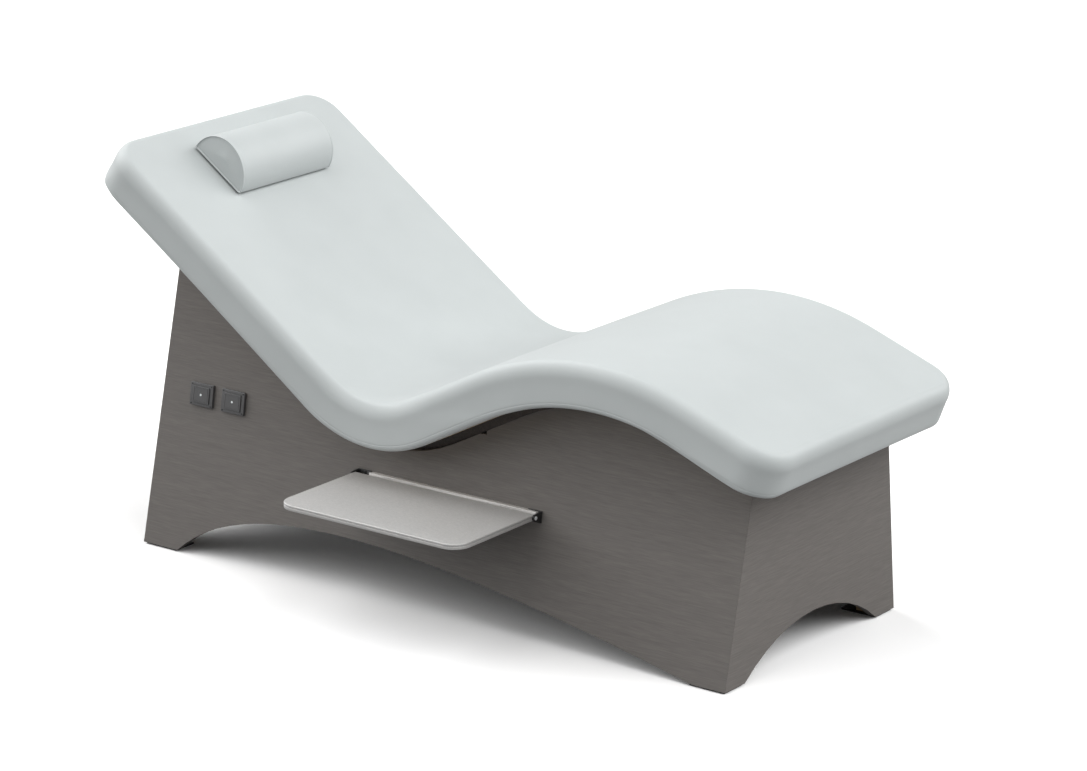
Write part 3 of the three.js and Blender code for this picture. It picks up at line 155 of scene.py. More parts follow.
def flake_coat(name, dark, light):
    """Aluminium-grey powder coat with metal flakes, rolled fine: a faint speckle and a broad, soft gloss."""
    finish, place = new_finish(name)
    # the flakes are 0.1 mm; drawn 1 mm wide and more, so that they show
    lines_at = put(finish, "ShaderNodeMapping", {"Scale": drawn(8.3, 1.1, 1.1)}, {"Vector": place})
    lines = put(finish, "ShaderNodeTexNoise", {"Scale": 1, "Detail": 4}, {"Vector": lines_at.outputs[0]})
    speckle = put(finish, "ShaderNodeTexNoise", {"Scale": drawn(1.4), "Detail": 3, "Roughness": 0.7},
                  {"Vector": place})
    both = put(finish, "ShaderNodeMath", None, {0: speckle.outputs[0], 1: lines.outputs[0]},
               operation="MULTIPLY")
    colour = put(finish, "ShaderNodeValToRGB", None, {0: both.outputs[0]},
                 stops=((0.14, dark), (0.38, light)))
    dull = put(finish, "ShaderNodeMapRange",
               {"From Min": 0.3, "From Max": 0.7, "To Min": 0.5, "To Max": 0.6},
               {"Value": lines.outputs[0]})
    bump = put(finish, "ShaderNodeBump", {"Strength": 0.05, "Distance": 0.2 * MM},
               {"Height": speckle.outputs[0]})
    return close_finish(finish, colour, dull, bump, Metallic=0.35, IOR=1.5)


def mottled(name, dark, light, patch, rough, grain, **surface):
    """A finish of two near tones in patches of a size, in millimetres, with a matching fine relief."""
    finish, place = new_finish(name)
    patches = put(finish, "ShaderNodeTexNoise", {"Scale": drawn(patch), "Detail": 4, "Roughness": 0.6},
                  {"Vector": place})
    colour = put(finish, "ShaderNodeValToRGB", None, {0: patches.outputs[0]},
                 stops=((0.3, dark), (0.7, light)))
    dull = put(finish, "ShaderNodeMapRange",
               {"From Min": 0.3, "From Max": 0.7, "To Min": rough[0], "To Max": rough[1]},
               {"Value": patches.outputs[0]})
    bump = put(finish, "ShaderNodeBump", {"Strength": grain, "Distance": 0.3 * MM},
               {"Height": patches.outputs[0]})
    return close_finish(finish, colour, dull, bump, **surface)


def birch_plywood():
    """Rotary cut birch plywood: pale yellow face with long soft streaks, 17 mm across and 200 mm long."""
    finish, place = new_finish("birch_plywood")
    grain_at = put(finish, "ShaderNodeMapping", {"Scale": drawn(200, 16.7, 16.7)}, {"Vector": place})
    grain = put(finish, "ShaderNodeTexNoise", {"Scale": 1, "Detail": 5}, {"Vector": grain_at.outputs[0]})
    colour = put(finish, "ShaderNodeValToRGB", None, {0: grain.outputs[0]},
                 stops=((0.3, "#b79b73"), (0.7, "#d2bb94")))
    dull = put(finish, "ShaderNodeMapRange",
               {"From Min": 0.3, "From Max": 0.7, "To Min": 0.65, "To Max": 0.55},
               {"Value": grain.outputs[0]})
    bump = put(finish, "ShaderNodeBump", {"Strength": 0.1, "Distance": 0.3 * MM},
               {"Height": grain.outputs[0]})
    return close_finish(finish, colour, dull, bump, IOR=1.5)


def studio_floor():
    """Seamless white paper that throws little light back up, so that undersides stay in shade."""
    finish, place = new_finish("white_paper_floor")
    clouds = put(finish, "ShaderNodeTexNoise", {"Scale": drawn(333)}, {"Vector": place})
    tone = put(finish, "ShaderNodeValToRGB", None, {0: clouds.outputs[0]},
               stops=((0.3, "#fafafa"), (0.7, "#fdfdfd")))
    direct = put(finish, "ShaderNodeLightPath")
    front = put(finish, "ShaderNodeBsdfDiffuse", None, {"Color": tone.outputs[0]})
    back = put(finish, "ShaderNodeBsdfDiffuse", {"Color": srgb("#8c8c8c")})
    both = put(finish, "ShaderNodeMixShader", None,
               {0: direct.outputs["Is Camera Ray"], 1: back.outputs[0], 2: front.outputs[0]})
    put(finish, "ShaderNodeOutputMaterial", None, {"Surface": both.outputs[0]})
    return finish


FINISHES = {
    "panel_laminate": wood_laminate("oak_laminate_lengthwise", True),
    "panel_laminate_across": wood_laminate("oak_laminate_across", False),
    "upholstery": leatherette(),
    # the shelf's slot is named for its steel, and what shows is the coat on it
    "brushed_steel": flake_coat("aluminium_grey_powder_coat", "#a3a2a1", "#bbbab8"),
    # the rail and its screws wear a lighter copy of the shelf's coat: painted light, brighter to stand in
    # for the light that the rail's top catches
    "brushed_steel_painted_lighter": flake_coat("grey_powder_coat_painted_lighter", "#c6c4c1", "#d8d6d3"),
    "plywood": birch_plywood(),
    # moisture-proof board stained through: black with brown fibres
    "dark_board": mottled("stained_fibreboard", "#25211f", "#38322f", 3.8, (0.7, 0.6), 0.2, IOR=1.5),
    # cut foam: pale cream with open pores
    "foam": mottled("cut_foam", "#cfc5a4", "#e0d8bb", 1.7, (0.95, 0.85), 0.5, IOR=1.4),
    # glass cloth with silicone: rust red, faint gloss
    "heating_mat": mottled("silicone_heating_mat", "#7c3a2a", "#934a36", 2.5, (0.6, 0.5), 0.2, IOR=1.42),
    # powder coat: near black with a fine orange-peel
    "black_metal": mottled("black_powder_coat", "#141414", "#202020", 1.4, (0.48, 0.38), 0.2, IOR=1.5),
    # zinc-plated steel, passivated: bright and cloudy, its skin scatters much of the light
    "bright_steel": mottled("bright_zinc_steel", "#d3d5d7", "#e8eaeb", 2, (0.34, 0.44), 0.03, Metallic=0.35),
    # moulded ABS, spark-eroded mould: dark grey, satin
    "switch_plastic": mottled("moulded_grey_abs", "#4b4b4c", "#525253", 1.1, (0.46, 0.4), 0.12, IOR=1.53),
    # clear acrylic over the diode, nearly white: a painted glow of the lit diode, as the lens gives off no
    # light
    "switch_light": mottled("frosted_acrylic_painted_glow", "#e9eff0", "#f6fafa", 2, (0.3, 0.22), 0.02, IOR=1.49),
    # moulded polyamide: black, satin
    "black_plastic": mottled("moulded_black_nylon", "#161617", "#202021", 1.25, (0.5, 0.4), 0.12, IOR=1.53),
    # printed circuit: solder mask green
    "circuit": mottled("green_solder_mask", "#1d4a2b", "#28603a", 3.3, (0.4, 0.3), 0.05, IOR=1.55),
    # EPDM: black, dull
    "black_rubber": mottled("black_rubber", "#121212", "#1b1b1b", 2, (0.8, 0.68), 0.15, IOR=1.5),
}


def give(piece, finish):
    piece.data.materials.clear()
    piece.data.materials.append(FINISHES[finish])


# Places of the frame

SIDEWAYS = Vector((0, 1, 0))


def reach(node, axis):
    """Where a solid of the frame begins and ends along an axis, in millimetres."""
    places = [v.co.dot(axis) / MM for v in frame["nodes"][node].data.vertices]
    return min(places), max(places)


def length_along(node, axis):
    """A solid's size along an axis, in millimetres."""
    begins, ends = reach(node, axis)
    return ends - begins


def outer_face(node, out):
    """The middle of a solid's outermost face in a direction, in millimetres."""
    face_depth = 0.02 * MM
    points = {tuple(round(c, 6) for c in v.co) for v in frame["nodes"][node].data.vertices}
    far = max(Vector(p).dot(out) for p in points)
    top = [Vector(p) for p in points if Vector(p).dot(out) > far - face_depth]
    return sum(top, Vector()) / len(top) / MM


# The lounging line, which is the pad's top from head to foot seen from the side, in millimetres

SHIFT_X, PAD_MIDDLE = -24.3511962890625, 94.025390625  # from the drawing's origin to the frame's
SEAT_BEND = (-109, 419.5)  # in the drawing, where the back and the thigh stretch would meet
STRAIGHTS = ((847, -35.1), (594.4, 27.34), (520.7, -20.1))  # back, thigh, leg: length, slope in degrees
BENDS = (190, 655)  # radius of the seat dip and of the knee rise


def towards(angle):
    """The flat direction at an angle in radians."""
    return Vector((math.cos(angle), math.sin(angle)))


def square_to(angle):
    """The flat direction square to it, a quarter turn further."""
    return Vector((-math.sin(angle), math.cos(angle)))


def lounging_line():
    """The line's straight and round stretches (begins, start, heading, turn, radius), and its length."""
    headings = [math.radians(slope) for _, slope in STRAIGHTS]
    back, thigh, leg = [towards(heading) * length for heading, (length, _) in zip(headings, STRAIGHTS)]
    seat = Vector(SEAT_BEND)
    corners = [seat - back, seat, seat + thigh, seat + thigh + leg]
    turns = [after - before for before, after in zip(headings, headings[1:])]
    stretches, start, begins = [], corners[0], 0
    for i, heading in enumerate(headings):
        last = i == len(BENDS)
        trim = 0 if last else BENDS[i] * math.tan(abs(turns[i]) / 2)
        end = corners[i + 1] - towards(heading) * trim
        stretches.append((begins, start, heading, 0, 0))
        begins += (end - start).length
        if not last:
            stretches.append((begins, end, heading, turns[i], BENDS[i]))
            begins += BENDS[i] * abs(turns[i])
            start = corners[i + 1] + towards(headings[i + 1]) * trim
    return stretches, begins


LINE, LINE_LENGTH = lounging_line()


def on_line(station, sideways, level):
    """The point in the frame, in metres, at a distance from the head end, sideways and above the line."""
    begins, start, heading, turn, radius = [s for s in LINE if s[0] <= max(station, 0)][-1]
    on = station - begins
    up = square_to(heading)
    if turn == 0:
        at = start + towards(heading) * on
    else:
        arm = math.copysign(radius, turn)
        middle = start + up * arm
        up = square_to(heading + on / arm)
        at = middle - up * arm
    at = at + up * level
    return Vector(((at.x + SHIFT_X) * MM, (sideways + PAD_MIDDLE) * MM, at.y * MM))


# Soft pieces

def only(piece):
    """Selects a piece and nothing else."""
    bpy.ops.object.select_all(action="DESELECT")
    bpy.context.view_layer.objects.active = piece
    piece.select_set(True)


def new_piece(name, points, faces):
    mesh = bpy.data.meshes.new(name)
    mesh.from_pydata([tuple(p) for p in points], [], faces)
    mesh.update()
    piece = bpy.data.objects.new(name, mesh)
    scene.collection.objects.link(piece)
    return piece


def swell(piece, held, cap, pressure):
    """A short cloth simulation: the cover swells on its filling, no point by more than the cap."""
    moments = 20
    group = piece.vertex_groups.new(name="held")
    group.add(held, 1.0, "REPLACE")
    cloth = piece.modifiers.new("cover", "CLOTH")
    cloth.settings.quality = 4
    cloth.settings.mass = 0.4
    cloth.settings.tension_stiffness = 40
    cloth.settings.compression_stiffness = 40
    cloth.settings.shear_stiffness = 20
    cloth.settings.bending_stiffness = 4
    cloth.settings.vertex_group_mass = "held"
    cloth.settings.use_pressure = True
    cloth.settings.uniform_pressure_force = pressure
    cloth.settings.effector_weights.gravity = 0
    cloth.collision_settings.use_collision = False
    for moment in range(1, moments + 1):
        scene.frame_set(moment)
    seen = piece.evaluated_get(bpy.context.evaluated_depsgraph_get())
    moved = [v.co.copy() for v in seen.data.vertices]
    piece.modifiers.remove(cloth)
    scene.frame_set(1)
    for vertex, after in zip(piece.data.vertices, moved):
        step = after - vertex.co
        vertex.co += step * min(1, cap / max(step.length, SAME))
    piece.data.update()


def finish_soft(piece, body, slot, node):
    """One subdivision, smooth shading, its finish and what it stands for."""
    more = piece.modifiers.new("smooth", "SUBSURF")
    more.levels = more.render_levels = 1
    only(piece)
    bpy.ops.object.modifier_apply(modifier=more.name)
    piece.data.shade_smooth()
    piece.vertex_groups.clear()
    give(piece, slot)
    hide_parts(node)
    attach(piece, body)
    piece.select_set(False)


def quarter_turn(steps):
    """Sine and cosine of the angles from 0 to 90 degrees, in even steps."""
    angles = [math.radians(90 * i / steps) for i in range(steps + 1)]
    return [(math.sin(a), math.cos(a)) for a in angles]


PAD_HALF, PAD_THICK, PAD_CORNER = 354, 100, 78  # half width, thickness, corner radius seen from above
POCKET_INSET, POCKET_LEVELS = 25, (-38, -62, -84, -PAD_THICK)  # the room of the backing board, open below
SWELL_ROOM = 0.5  # the cover starts this much inside its finished size
COLUMNS, CORNER_STEPS, ROW_STEP = 38, 10, 18  # faces across, faces round a corner, length of a row


def pad_rings():
    """The cover's loops from the pocket's ceiling, out round the bottom edge and up the side to the top:
    (what it belongs to, how far in from the outline, level above the lounging line)."""
    top_in, top_drop = 21, 33
    bottom_round, bottom_tuck = 10, 1.5
    side_in = 1
    seam_level, seam_in, seam_half = -87.6, 2, 0.8
    rings = [("pocket", POCKET_INSET, level) for level in POCKET_LEVELS]
    for sine, cosine in quarter_turn(4):
        rings.append(("side" if sine else "underside", SWELL_ROOM + bottom_tuck + bottom_round * (1 - sine),
                      bottom_round * (1 - cosine) - PAD_THICK))
    # a seam runs round the side, a little above the bottom edge
    for inset, level in ((side_in + 0.3, seam_level - seam_half), (seam_in, seam_level),
                         (side_in + 0.2, seam_level + seam_half)):
        rings.append(("side", inset + SWELL_ROOM, level))
    rings += [("side", side_in + SWELL_ROOM, level) for level in (-84, -73, -59, -45)]
    for sine, cosine in quarter_turn(7):
        rings.append(("side", top_in * (1 - cosine) + SWELL_ROOM, -top_drop * (1 - sine) - SWELL_ROOM))
    return rings


def pad_outline(inset):
    """The far half of the pad's outline seen from above, head to foot: (station, sideways)."""
    radius = PAD_CORNER - inset
    head = [(PAD_CORNER - radius * cosine, PAD_HALF - PAD_CORNER + radius * sine)
            for sine, cosine in quarter_turn(CORNER_STEPS)[:-1]]
    straight = LINE_LENGTH - 2 * PAD_CORNER
    steps = round(straight / ROW_STEP)
    side = [(PAD_CORNER + straight * i / steps, PAD_HALF - inset) for i in range(steps + 1)]
    foot = [(LINE_LENGTH - station, sideways) for station, sideways in reversed(head)]
    return head + side + foot


def pad_upholstery():
    """The long cushion: a crowned cover over its foam, open below where the backing board sits."""
    crown, crown_fade = 1.5, 160  # how much the top stands up in the middle, and how far from its ends
    rings = pad_rings()
    across = [1 - 2 * j / COLUMNS for j in range(COLUMNS + 1)]
    rows = len(pad_outline(0))
    # a loop's points in turn, as rows and columns of the grid that closes it
    border = [(i, 0) for i in range(rows)]
    border += [(rows - 1, j) for j in range(1, COLUMNS)]
    border += [(i, COLUMNS) for i in reversed(range(rows))]
    border += [(0, j) for j in reversed(range(1, COLUMNS))]
    around = len(border)
    points, faces = [], []
    for _, inset, level in rings:
        outline = pad_outline(inset)
        points += [on_line(outline[i][0], outline[i][1] * across[j], level) for i, j in border]
    for r in range(len(rings) - 1):
        for i in range(around):
            a, b = r * around + i, r * around + (i + 1) % around
            faces.append((a, b, b + around, a + around))

    def close(ring, rise, upwards):
        """Fills a loop with a grid that rises in the middle."""
        _, inset, level = rings[ring]
        number = {place: ring * around + i for i, place in enumerate(border)}
        for i, (station, sideways) in enumerate(pad_outline(inset)[1:-1], 1):
            fade = math.sin(min(station, LINE_LENGTH - station, crown_fade) / crown_fade * math.pi / 2)
            for j, u in enumerate(across[1:-1], 1):
                number[i, j] = len(points)
                points.append(on_line(station, sideways * u, level + rise * (1 - u * u) * fade))
        for i in range(rows - 1):
            for j in range(COLUMNS):
                quad = (number[i, j], number[i + 1, j], number[i + 1, j + 1], number[i, j + 1])
                faces.append(quad if upwards else quad[::-1])

    close(len(rings) - 1, crown, True)
    ceiling = len(points)
    close(0, 0, False)
    piece = new_piece("pad_upholstery", points, faces)
    # the pocket's ceiling and its mouth stay sharp
    sharp = ({0}, {len(POCKET_LEVELS) - 1})
    crease = piece.data.attributes.new("crease_edge", "FLOAT", "EDGE")
    for edge in piece.data.edges:
        if {v // around for v in edge.vertices} in sharp:
            crease.data[edge.index].value = 1
    held = [r * around + i for r, ring in enumerate(rings) if ring[0] != "side" for i in range(around)]
    held += range(ceiling, len(points))
    swell(piece, held, cap=2 * MM, pressure=2.5)
    finish_soft(piece, "base", "upholstery", "pad_cover")


BACK_SLOPE = math.radians(STRAIGHTS[0][1])
BACK_ALONG = Vector((math.cos(BACK_SLOPE), 0, math.sin(BACK_SLOPE)))
BACK_UP = Vector((-math.sin(BACK_SLOPE), 0, math.cos(BACK_SLOPE)))


def bolster_cushion():
    """The loose head roll: a half-round cushion with a flat base and two stitched end panels."""
    arc_steps, base_steps, length_steps = 30, 10, 18
    base_edge, end_panel, end_top, edge_round = 1.5, 3, 2, 7
    panel_rim, panel_dome = 1.2, 1.5
    base, crown = reach("bolster_cushion", BACK_UP)
    from_head = sum(reach("bolster_cushion", BACK_ALONG)) / 2
    centre = BACK_ALONG * from_head + SIDEWAYS * PAD_MIDDLE + BACK_UP * base
    radius = crown - base
    half = length_along("bolster_cushion", SIDEWAYS) / 2 - end_panel
    ease = math.asin(base_edge / radius)
    flat = radius - base_edge
    profile = []
    for i in range(arc_steps + 1):
        profile.append(towards(ease + (math.pi - 2 * ease) * i / arc_steps) * radius)
    profile += [Vector((-flat + 2 * flat * i / base_steps, 0)) for i in range(base_steps + 1)]
    count = len(profile)
    middle = Vector((0, radius / 2))
    # rings as (share of the profile's size, place along the roll): the end panel is a low dome
    rings = [(share, panel_rim - panel_dome * (1 - share) - half) for share in (0.25, 0.5, 0.75, 0.9, 0.945)]
    # a sewn welt runs round the end panel, then the seam's groove
    rings += [(share, inwards - half) for share, inwards in (
        (0.962, 1.0), (0.972, -0.8), (0.99, -1.6), (1.004, -0.4),
        (1.008, 1.6), (0.999, 3.0), (0.988, 3.8), (0.994, 4.8))]
    ends = len(rings)
    for i in range(length_steps + 1):
        rings.append((1, edge_round - half + 2 * (half - edge_round) * i / length_steps))
    rings += [(share, -along) for share, along in reversed(rings[:ends])]

    def place(at, along):
        return (centre + BACK_ALONG * at.x + SIDEWAYS * along + BACK_UP * max(at.y, 0)) * MM

    points = [place(middle + (at - middle) * share, along) for share, along in rings for at in profile]
    faces = []
    for r in range(len(rings) - 1):
        for i in range(count):
            a, b = r * count + i, r * count + (i + 1) % count
            faces.append((a, b, b + count, a + count))
    last = len(rings) - 1
    for ring, along in ((0, -half - end_top), (last, half + end_top)):
        points.append(place(middle, along))
        for i in range(count):
            a, b = ring * count + i, ring * count + (i + 1) % count
            faces.append((a, b, len(points) - 1) if ring else (b, a, len(points) - 1))
    piece = new_piece("bolster_roll", points, faces)
    # the flat base and the stitched ends don't swell
    held = [r * count + i for r in range(len(rings)) for i in (0, *range(arc_steps, count))]
    held += [r * count + i for r in range(len(rings)) if not ends <= r <= last - ends for i in range(count)]
    swell(piece, held, cap=3 * MM, pressure=3)
    finish_soft(piece, "bolster", "upholstery", "bolster_cushion")


# Hard pieces with worked edges

def pick(piece, wanted, kind="FACE"):
    """In edit mode, selects the faces or edges that a test on their middle and normal or ends accepts."""
    bpy.ops.object.mode_set(mode="EDIT")
    bpy.ops.mesh.select_mode(type=kind)
    bpy.ops.mesh.select_all(action="DESELECT")
    bpy.ops.object.mode_set(mode="OBJECT")
    if kind == "FACE":
        for face in piece.data.polygons:
            face.select = wanted(face.center, face.normal)
    else:
        corner = [v.co for v in piece.data.vertices]
        for edge in piece.data.edges:
            edge.select = wanted(corner[edge.vertices[0]], corner[edge.vertices[1]])
    bpy.ops.object.mode_set(mode="EDIT")


def upright(a, b):
    """Accepts an edge that stands straight up."""
    return abs(a.x - b.x) < SAME and abs(a.y - b.y) < SAME


def at_level(level):
    """A test that accepts the edges that lie at a height, in metres."""
    return lambda a, b: abs(a.z - level) < SAME and abs(b.z - level) < SAME


def looking(way, level):
    """A test that accepts the faces that look up (1) or down (-1) at a height, in metres."""
    return lambda middle, normal: normal.z * way > 0.99 and abs(middle.z - level) < SAME


def finish_hard(piece, body, slot, *nodes, finish=None):
    """Edges that turn little are smooth, the rest stay crisp; then finish, place and what it stands for."""
    crisp = math.radians(38)
    bpy.ops.object.mode_set(mode="OBJECT")
    only(piece)
    bpy.ops.object.shade_smooth_by_angle(angle=crisp)
    give(piece, finish or slot)
    if nodes:
        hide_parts(*nodes)
    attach(piece, body)
    piece.select_set(False)


def eased(node, name, body, slot, width, steps, finish=None):
    """A solid of the frame with its sharp edges eased, as the real moulding, casting or bar has them."""
    same_plane, sharp = math.radians(1), math.radians(40)
    same_corner = 0.01 * MM
    piece = bpy.data.objects.new(name, frame["nodes"][node].data.copy())
    scene.collection.objects.link(piece)
    only(piece)
    bpy.ops.object.mode_set(mode="EDIT")
    bpy.ops.mesh.select_all(action="SELECT")
    bpy.ops.mesh.remove_doubles(threshold=same_corner)
    bpy.ops.mesh.dissolve_limited(angle_limit=same_plane)
    bpy.ops.object.mode_set(mode="OBJECT")
    edge = piece.modifiers.new("eased", "BEVEL")
    edge.width = width * MM
    edge.segments = steps
    edge.limit_method = "ANGLE"
    edge.angle_limit = sharp
    bpy.ops.object.modifier_apply(modifier=edge.name)
    finish_hard(piece, body, slot, node, finish=finish)


def block(name, size, top=0):
    """A block over the origin with its top at a height, in millimetres, ready to be shaped."""
    bpy.ops.object.select_all(action="DESELECT")
    bpy.ops.mesh.primitive_cube_add(size=1, location=(0, 0, 0))
    piece = bpy.context.active_object
    piece.name = piece.data.name = name
    length, width, height = size
    for vertex in piece.data.vertices:
        x, y, z = vertex.co
        vertex.co = Vector((x * length, y * width, z * height + top - height / 2)) * MM
    return piece


def disc(name, radius, height, sides):
    """A round disc with the middle of its top at the origin, in millimetres, ready to be shaped."""
    bpy.ops.object.select_all(action="DESELECT")
    bpy.ops.mesh.primitive_cylinder_add(vertices=sides, radius=radius * MM, depth=height * MM,
                                        location=(0, 0, -height / 2 * MM))
    bpy.ops.object.transform_apply(location=True, rotation=False, scale=False)
    piece = bpy.context.active_object
    piece.name = piece.data.name = name
    return piece


def rounded_plate(name, size, corner, front=0, top=0):
    """A block whose upright edges are rounded by a radius and whose top edge is eased."""
    plate = block(name, size, top)
    pick(plate, upright, "EDGE")
    bpy.ops.mesh.bevel(offset=corner * MM, segments=5, affect="EDGES")
    if front:
        pick(plate, at_level(top * MM), "EDGE")
        bpy.ops.mesh.bevel(offset=front * MM, segments=3, affect="EDGES")
    bpy.ops.object.mode_set(mode="OBJECT")
    return plate


def carve(piece, tool):
    """Cuts a tool's shape out of a piece, as a mould's core leaves it."""
    only(piece)
    cut = piece.modifiers.new("carved", "BOOLEAN")
    cut.operation = "DIFFERENCE"
    cut.solver = "EXACT"
    cut.object = tool
    bpy.ops.object.modifier_apply(modifier=cut.name)
    bpy.data.objects.remove(tool)


def cut_level(piece, level):
    """Cuts a loop of edges round a piece at a height, in metres."""
    bpy.ops.object.mode_set(mode="EDIT")
    bpy.ops.mesh.select_all(action="SELECT")
    bpy.ops.mesh.bisect(plane_co=(0, 0, level), plane_no=(0, 0, 1))
    bpy.ops.object.mode_set(mode="OBJECT")


def lay(piece, origin, across, up):
    """Moves a piece's mesh from the origin to a place, in millimetres, turned to two directions."""
    out = across.cross(up)
    for vertex in piece.data.vertices:
        x, y, z = vertex.co
        vertex.co = origin * MM + across * x + up * y + out * z
    piece.data.update()
    return piece


def joined(pieces, name):
    """Small pieces of one kind made a single one."""
    only(pieces[0])
    for piece in pieces:
        piece.select_set(True)
    bpy.ops.object.join()
    pieces[0].name = pieces[0].data.name = name
    return pieces[0]


def socket_screw(name, radius, head, shank, length):
    """A low round-headed screw with a hexagon socket, its head's top at the origin, pointing up."""
    edge_round, rim, socket_half, socket_depth = 0.28 * radius, 0.2 * radius, 0.42 * radius, 0.6 * head
    piece = disc(name, radius, head, sides=30)
    pick(piece, at_level(0), "EDGE")
    bpy.ops.mesh.bevel(offset=edge_round * MM, segments=3, affect="EDGES")
    pick(piece, looking(1, 0))
    bpy.ops.mesh.inset(thickness=rim * MM)
    bpy.ops.object.mode_set(mode="OBJECT")
    # the inset's round outline becomes the socket's hexagon
    for i in {v for face in piece.data.polygons if face.select for v in face.vertices}:
        at = piece.data.vertices[i].co
        turn = math.atan2(at.y, at.x) % (math.pi / 3) - math.pi / 6
        corner = at.xy.normalized() * (socket_half * MM / math.cos(turn))
        at.x, at.y = corner
    bpy.ops.object.mode_set(mode="EDIT")
    bpy.ops.mesh.extrude_region_move(TRANSFORM_OT_translate={"value": (0, 0, -socket_depth * MM)})
    pick(piece, looking(-1, -head * MM))
    bpy.ops.mesh.inset(thickness=(radius - shank) * MM)
    bpy.ops.mesh.extrude_region_move(TRANSFORM_OT_translate={"value": (0, 0, -length * MM)})
    bpy.ops.object.mode_set(mode="OBJECT")
    return piece


# The folding shelf

PANEL_LEAN = math.radians(9)  # how far the near panel leans back
ACROSS = Vector((1, 0, 0))
UP_PANEL = Vector((0, math.sin(PANEL_LEAN), math.cos(PANEL_LEAN)))
OUT_PANEL = Vector((0, -math.cos(PANEL_LEAN), math.sin(PANEL_LEAN)))


def shelf_tray():
    """The folding shelf's top: a tray with rounded front corners, two lips and a groove between them."""
    front_corner, rear_corner = 40 * MM, 4 * MM
    top_edge, bottom_edge, lip_edge = 2 * MM, 1.2 * MM, 1.5 * MM
    groove_bottom, groove_top, groove_depth = 1 * MM, 2 * MM, 1.6 * MM  # levels are from the tray's middle
    wall, skin = 2.8 * MM, 1.5 * MM
    low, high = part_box("shelf_top")
    width, height = (high - low).yz
    half = height / 2
    tray = block("steel_shelf_tray", (high - low) / MM, half / MM)
    pick(tray, lambda a, b: upright(a, b) and a.y < 0, "EDGE")
    bpy.ops.mesh.bevel(offset=front_corner, segments=14, affect="EDGES")
    pick(tray, lambda a, b: upright(a, b) and a.y > width / 2 - SAME, "EDGE")
    bpy.ops.mesh.bevel(offset=rear_corner, segments=4, affect="EDGES")
    bpy.ops.object.mode_set(mode="OBJECT")

    def from_above(point):
        return round(point.x, 6), round(point.y, 6)

    outline = {from_above(v.co) for v in tray.data.vertices if v.co.z > half - SAME}
    cut_level(tray, groove_top)
    cut_level(tray, groove_bottom)
    pick(tray, lambda middle, normal: groove_bottom < middle.z < groove_top and abs(normal.z) < 0.1)
    bpy.ops.mesh.extrude_region_shrink_fatten(TRANSFORM_OT_shrink_fatten={"value": -groove_depth})
    lower_lip = at_level(groove_bottom)
    pick(tray, lambda a, b: lower_lip(a, b) and {from_above(a), from_above(b)} <= outline, "EDGE")
    bpy.ops.mesh.bevel(offset=lip_edge, segments=4, affect="EDGES")
    pick(tray, at_level(half), "EDGE")
    bpy.ops.mesh.bevel(offset=top_edge, segments=5, affect="EDGES")
    pick(tray, at_level(-half), "EDGE")
    bpy.ops.mesh.bevel(offset=bottom_edge, segments=3, affect="EDGES")
    # hollow below, round the core board
    pick(tray, looking(-1, -half))
    bpy.ops.mesh.inset(thickness=wall)
    bpy.ops.mesh.extrude_region_move(TRANSFORM_OT_translate={"value": (0, 0, height - skin)})
    bpy.ops.object.mode_set(mode="OBJECT")
    for vertex in tray.data.vertices:
        vertex.co += (low + high) / 2
    finish_hard(tray, "shelf", "brushed_steel", "shelf_top")


def shelf_screws(name, node, count, length, finish):
    """The socket screws of the brackets or of the rail, each where the frame has it."""
    for i in range(1, count + 1):
        screw = socket_screw(f"{name}_{i}", radius=3.4, head=1.8, shank=1.8, length=length)
        lay(screw, outer_face(f"{node}_{i}", OUT_PANEL), ACROSS, UP_PANEL)
        finish_hard(screw, "base", "bright_steel", f"{node}_{i}", finish=finish)


# The two switches, made with their outer faces at the origin and then laid on the panel

KEY_GAP = 0.4  # all round the key, in its frame


def plan_of(node):
    """A switch piece's width and height on the panel."""
    return length_along(node, ACROSS), length_along(node, UP_PANEL)


def switch_frame(number):
    """The switch's frame: a low moulded bezel with an opening for the key."""
    node = f"switch_{number}_frame"
    width, height = plan_of(f"switch_{number}_key")
    size = (*plan_of(node), length_along(node, OUT_PANEL))
    bezel = rounded_plate(f"{node}_moulding", size, corner=2, front=0.8)
    opening = (width + 2 * KEY_GAP, height + 2 * KEY_GAP, 20)
    carve(bezel, rounded_plate("opening_core", opening, corner=1.9, top=7))
    lay(bezel, outer_face(node, OUT_PANEL), ACROSS, UP_PANEL)
    finish_hard(bezel, "base", "switch_plastic", node)


def switch_key(number):
    """The switch's key: a flat cap with a fine groove round its face."""
    cap_height, groove_inset, groove_width, groove_depth = 6.5, 3.3, 0.9, 0.5
    node = f"switch_{number}_key"
    width, height = plan_of(node)
    cap = rounded_plate(f"{node}_cap", (width, height, cap_height), corner=1.5, front=0.5)
    inner = groove_inset + groove_width
    outside = (width - 2 * groove_inset, height - 2 * groove_inset, 2 * groove_depth)
    inside = (width - 2 * inner, height - 2 * inner, 4)
    groove = rounded_plate("groove_core", outside, corner=0.8, top=groove_depth)
    carve(groove, rounded_plate("panel_core", inside, corner=0.4, top=2))
    carve(cap, groove)
    lay(cap, outer_face(node, OUT_PANEL), ACROSS, UP_PANEL)
    finish_hard(cap, node, "switch_plastic", node)


def switch_lens(number):
    """The domed lens of the light in the middle of the key."""
    edge_round, flat_top = 0.35, 0.9
    node = f"switch_{number}_light"
    lens = disc(f"{node}_lens", length_along(node, ACROSS) / 2, length_along(node, OUT_PANEL), sides=28)
    pick(lens, at_level(0), "EDGE")
    bpy.ops.mesh.bevel(offset=edge_round * MM, segments=4, affect="EDGES")
    pick(lens, looking(1, 0))
    bpy.ops.mesh.inset(thickness=flat_top * MM)
    bpy.ops.object.mode_set(mode="OBJECT")
    lay(lens, outer_face(node, OUT_PANEL), ACROSS, UP_PANEL)
    # the lens is painted near-white for the lit diode's glow
    finish_hard(lens, f"switch_{number}_key", "switch_light", node)


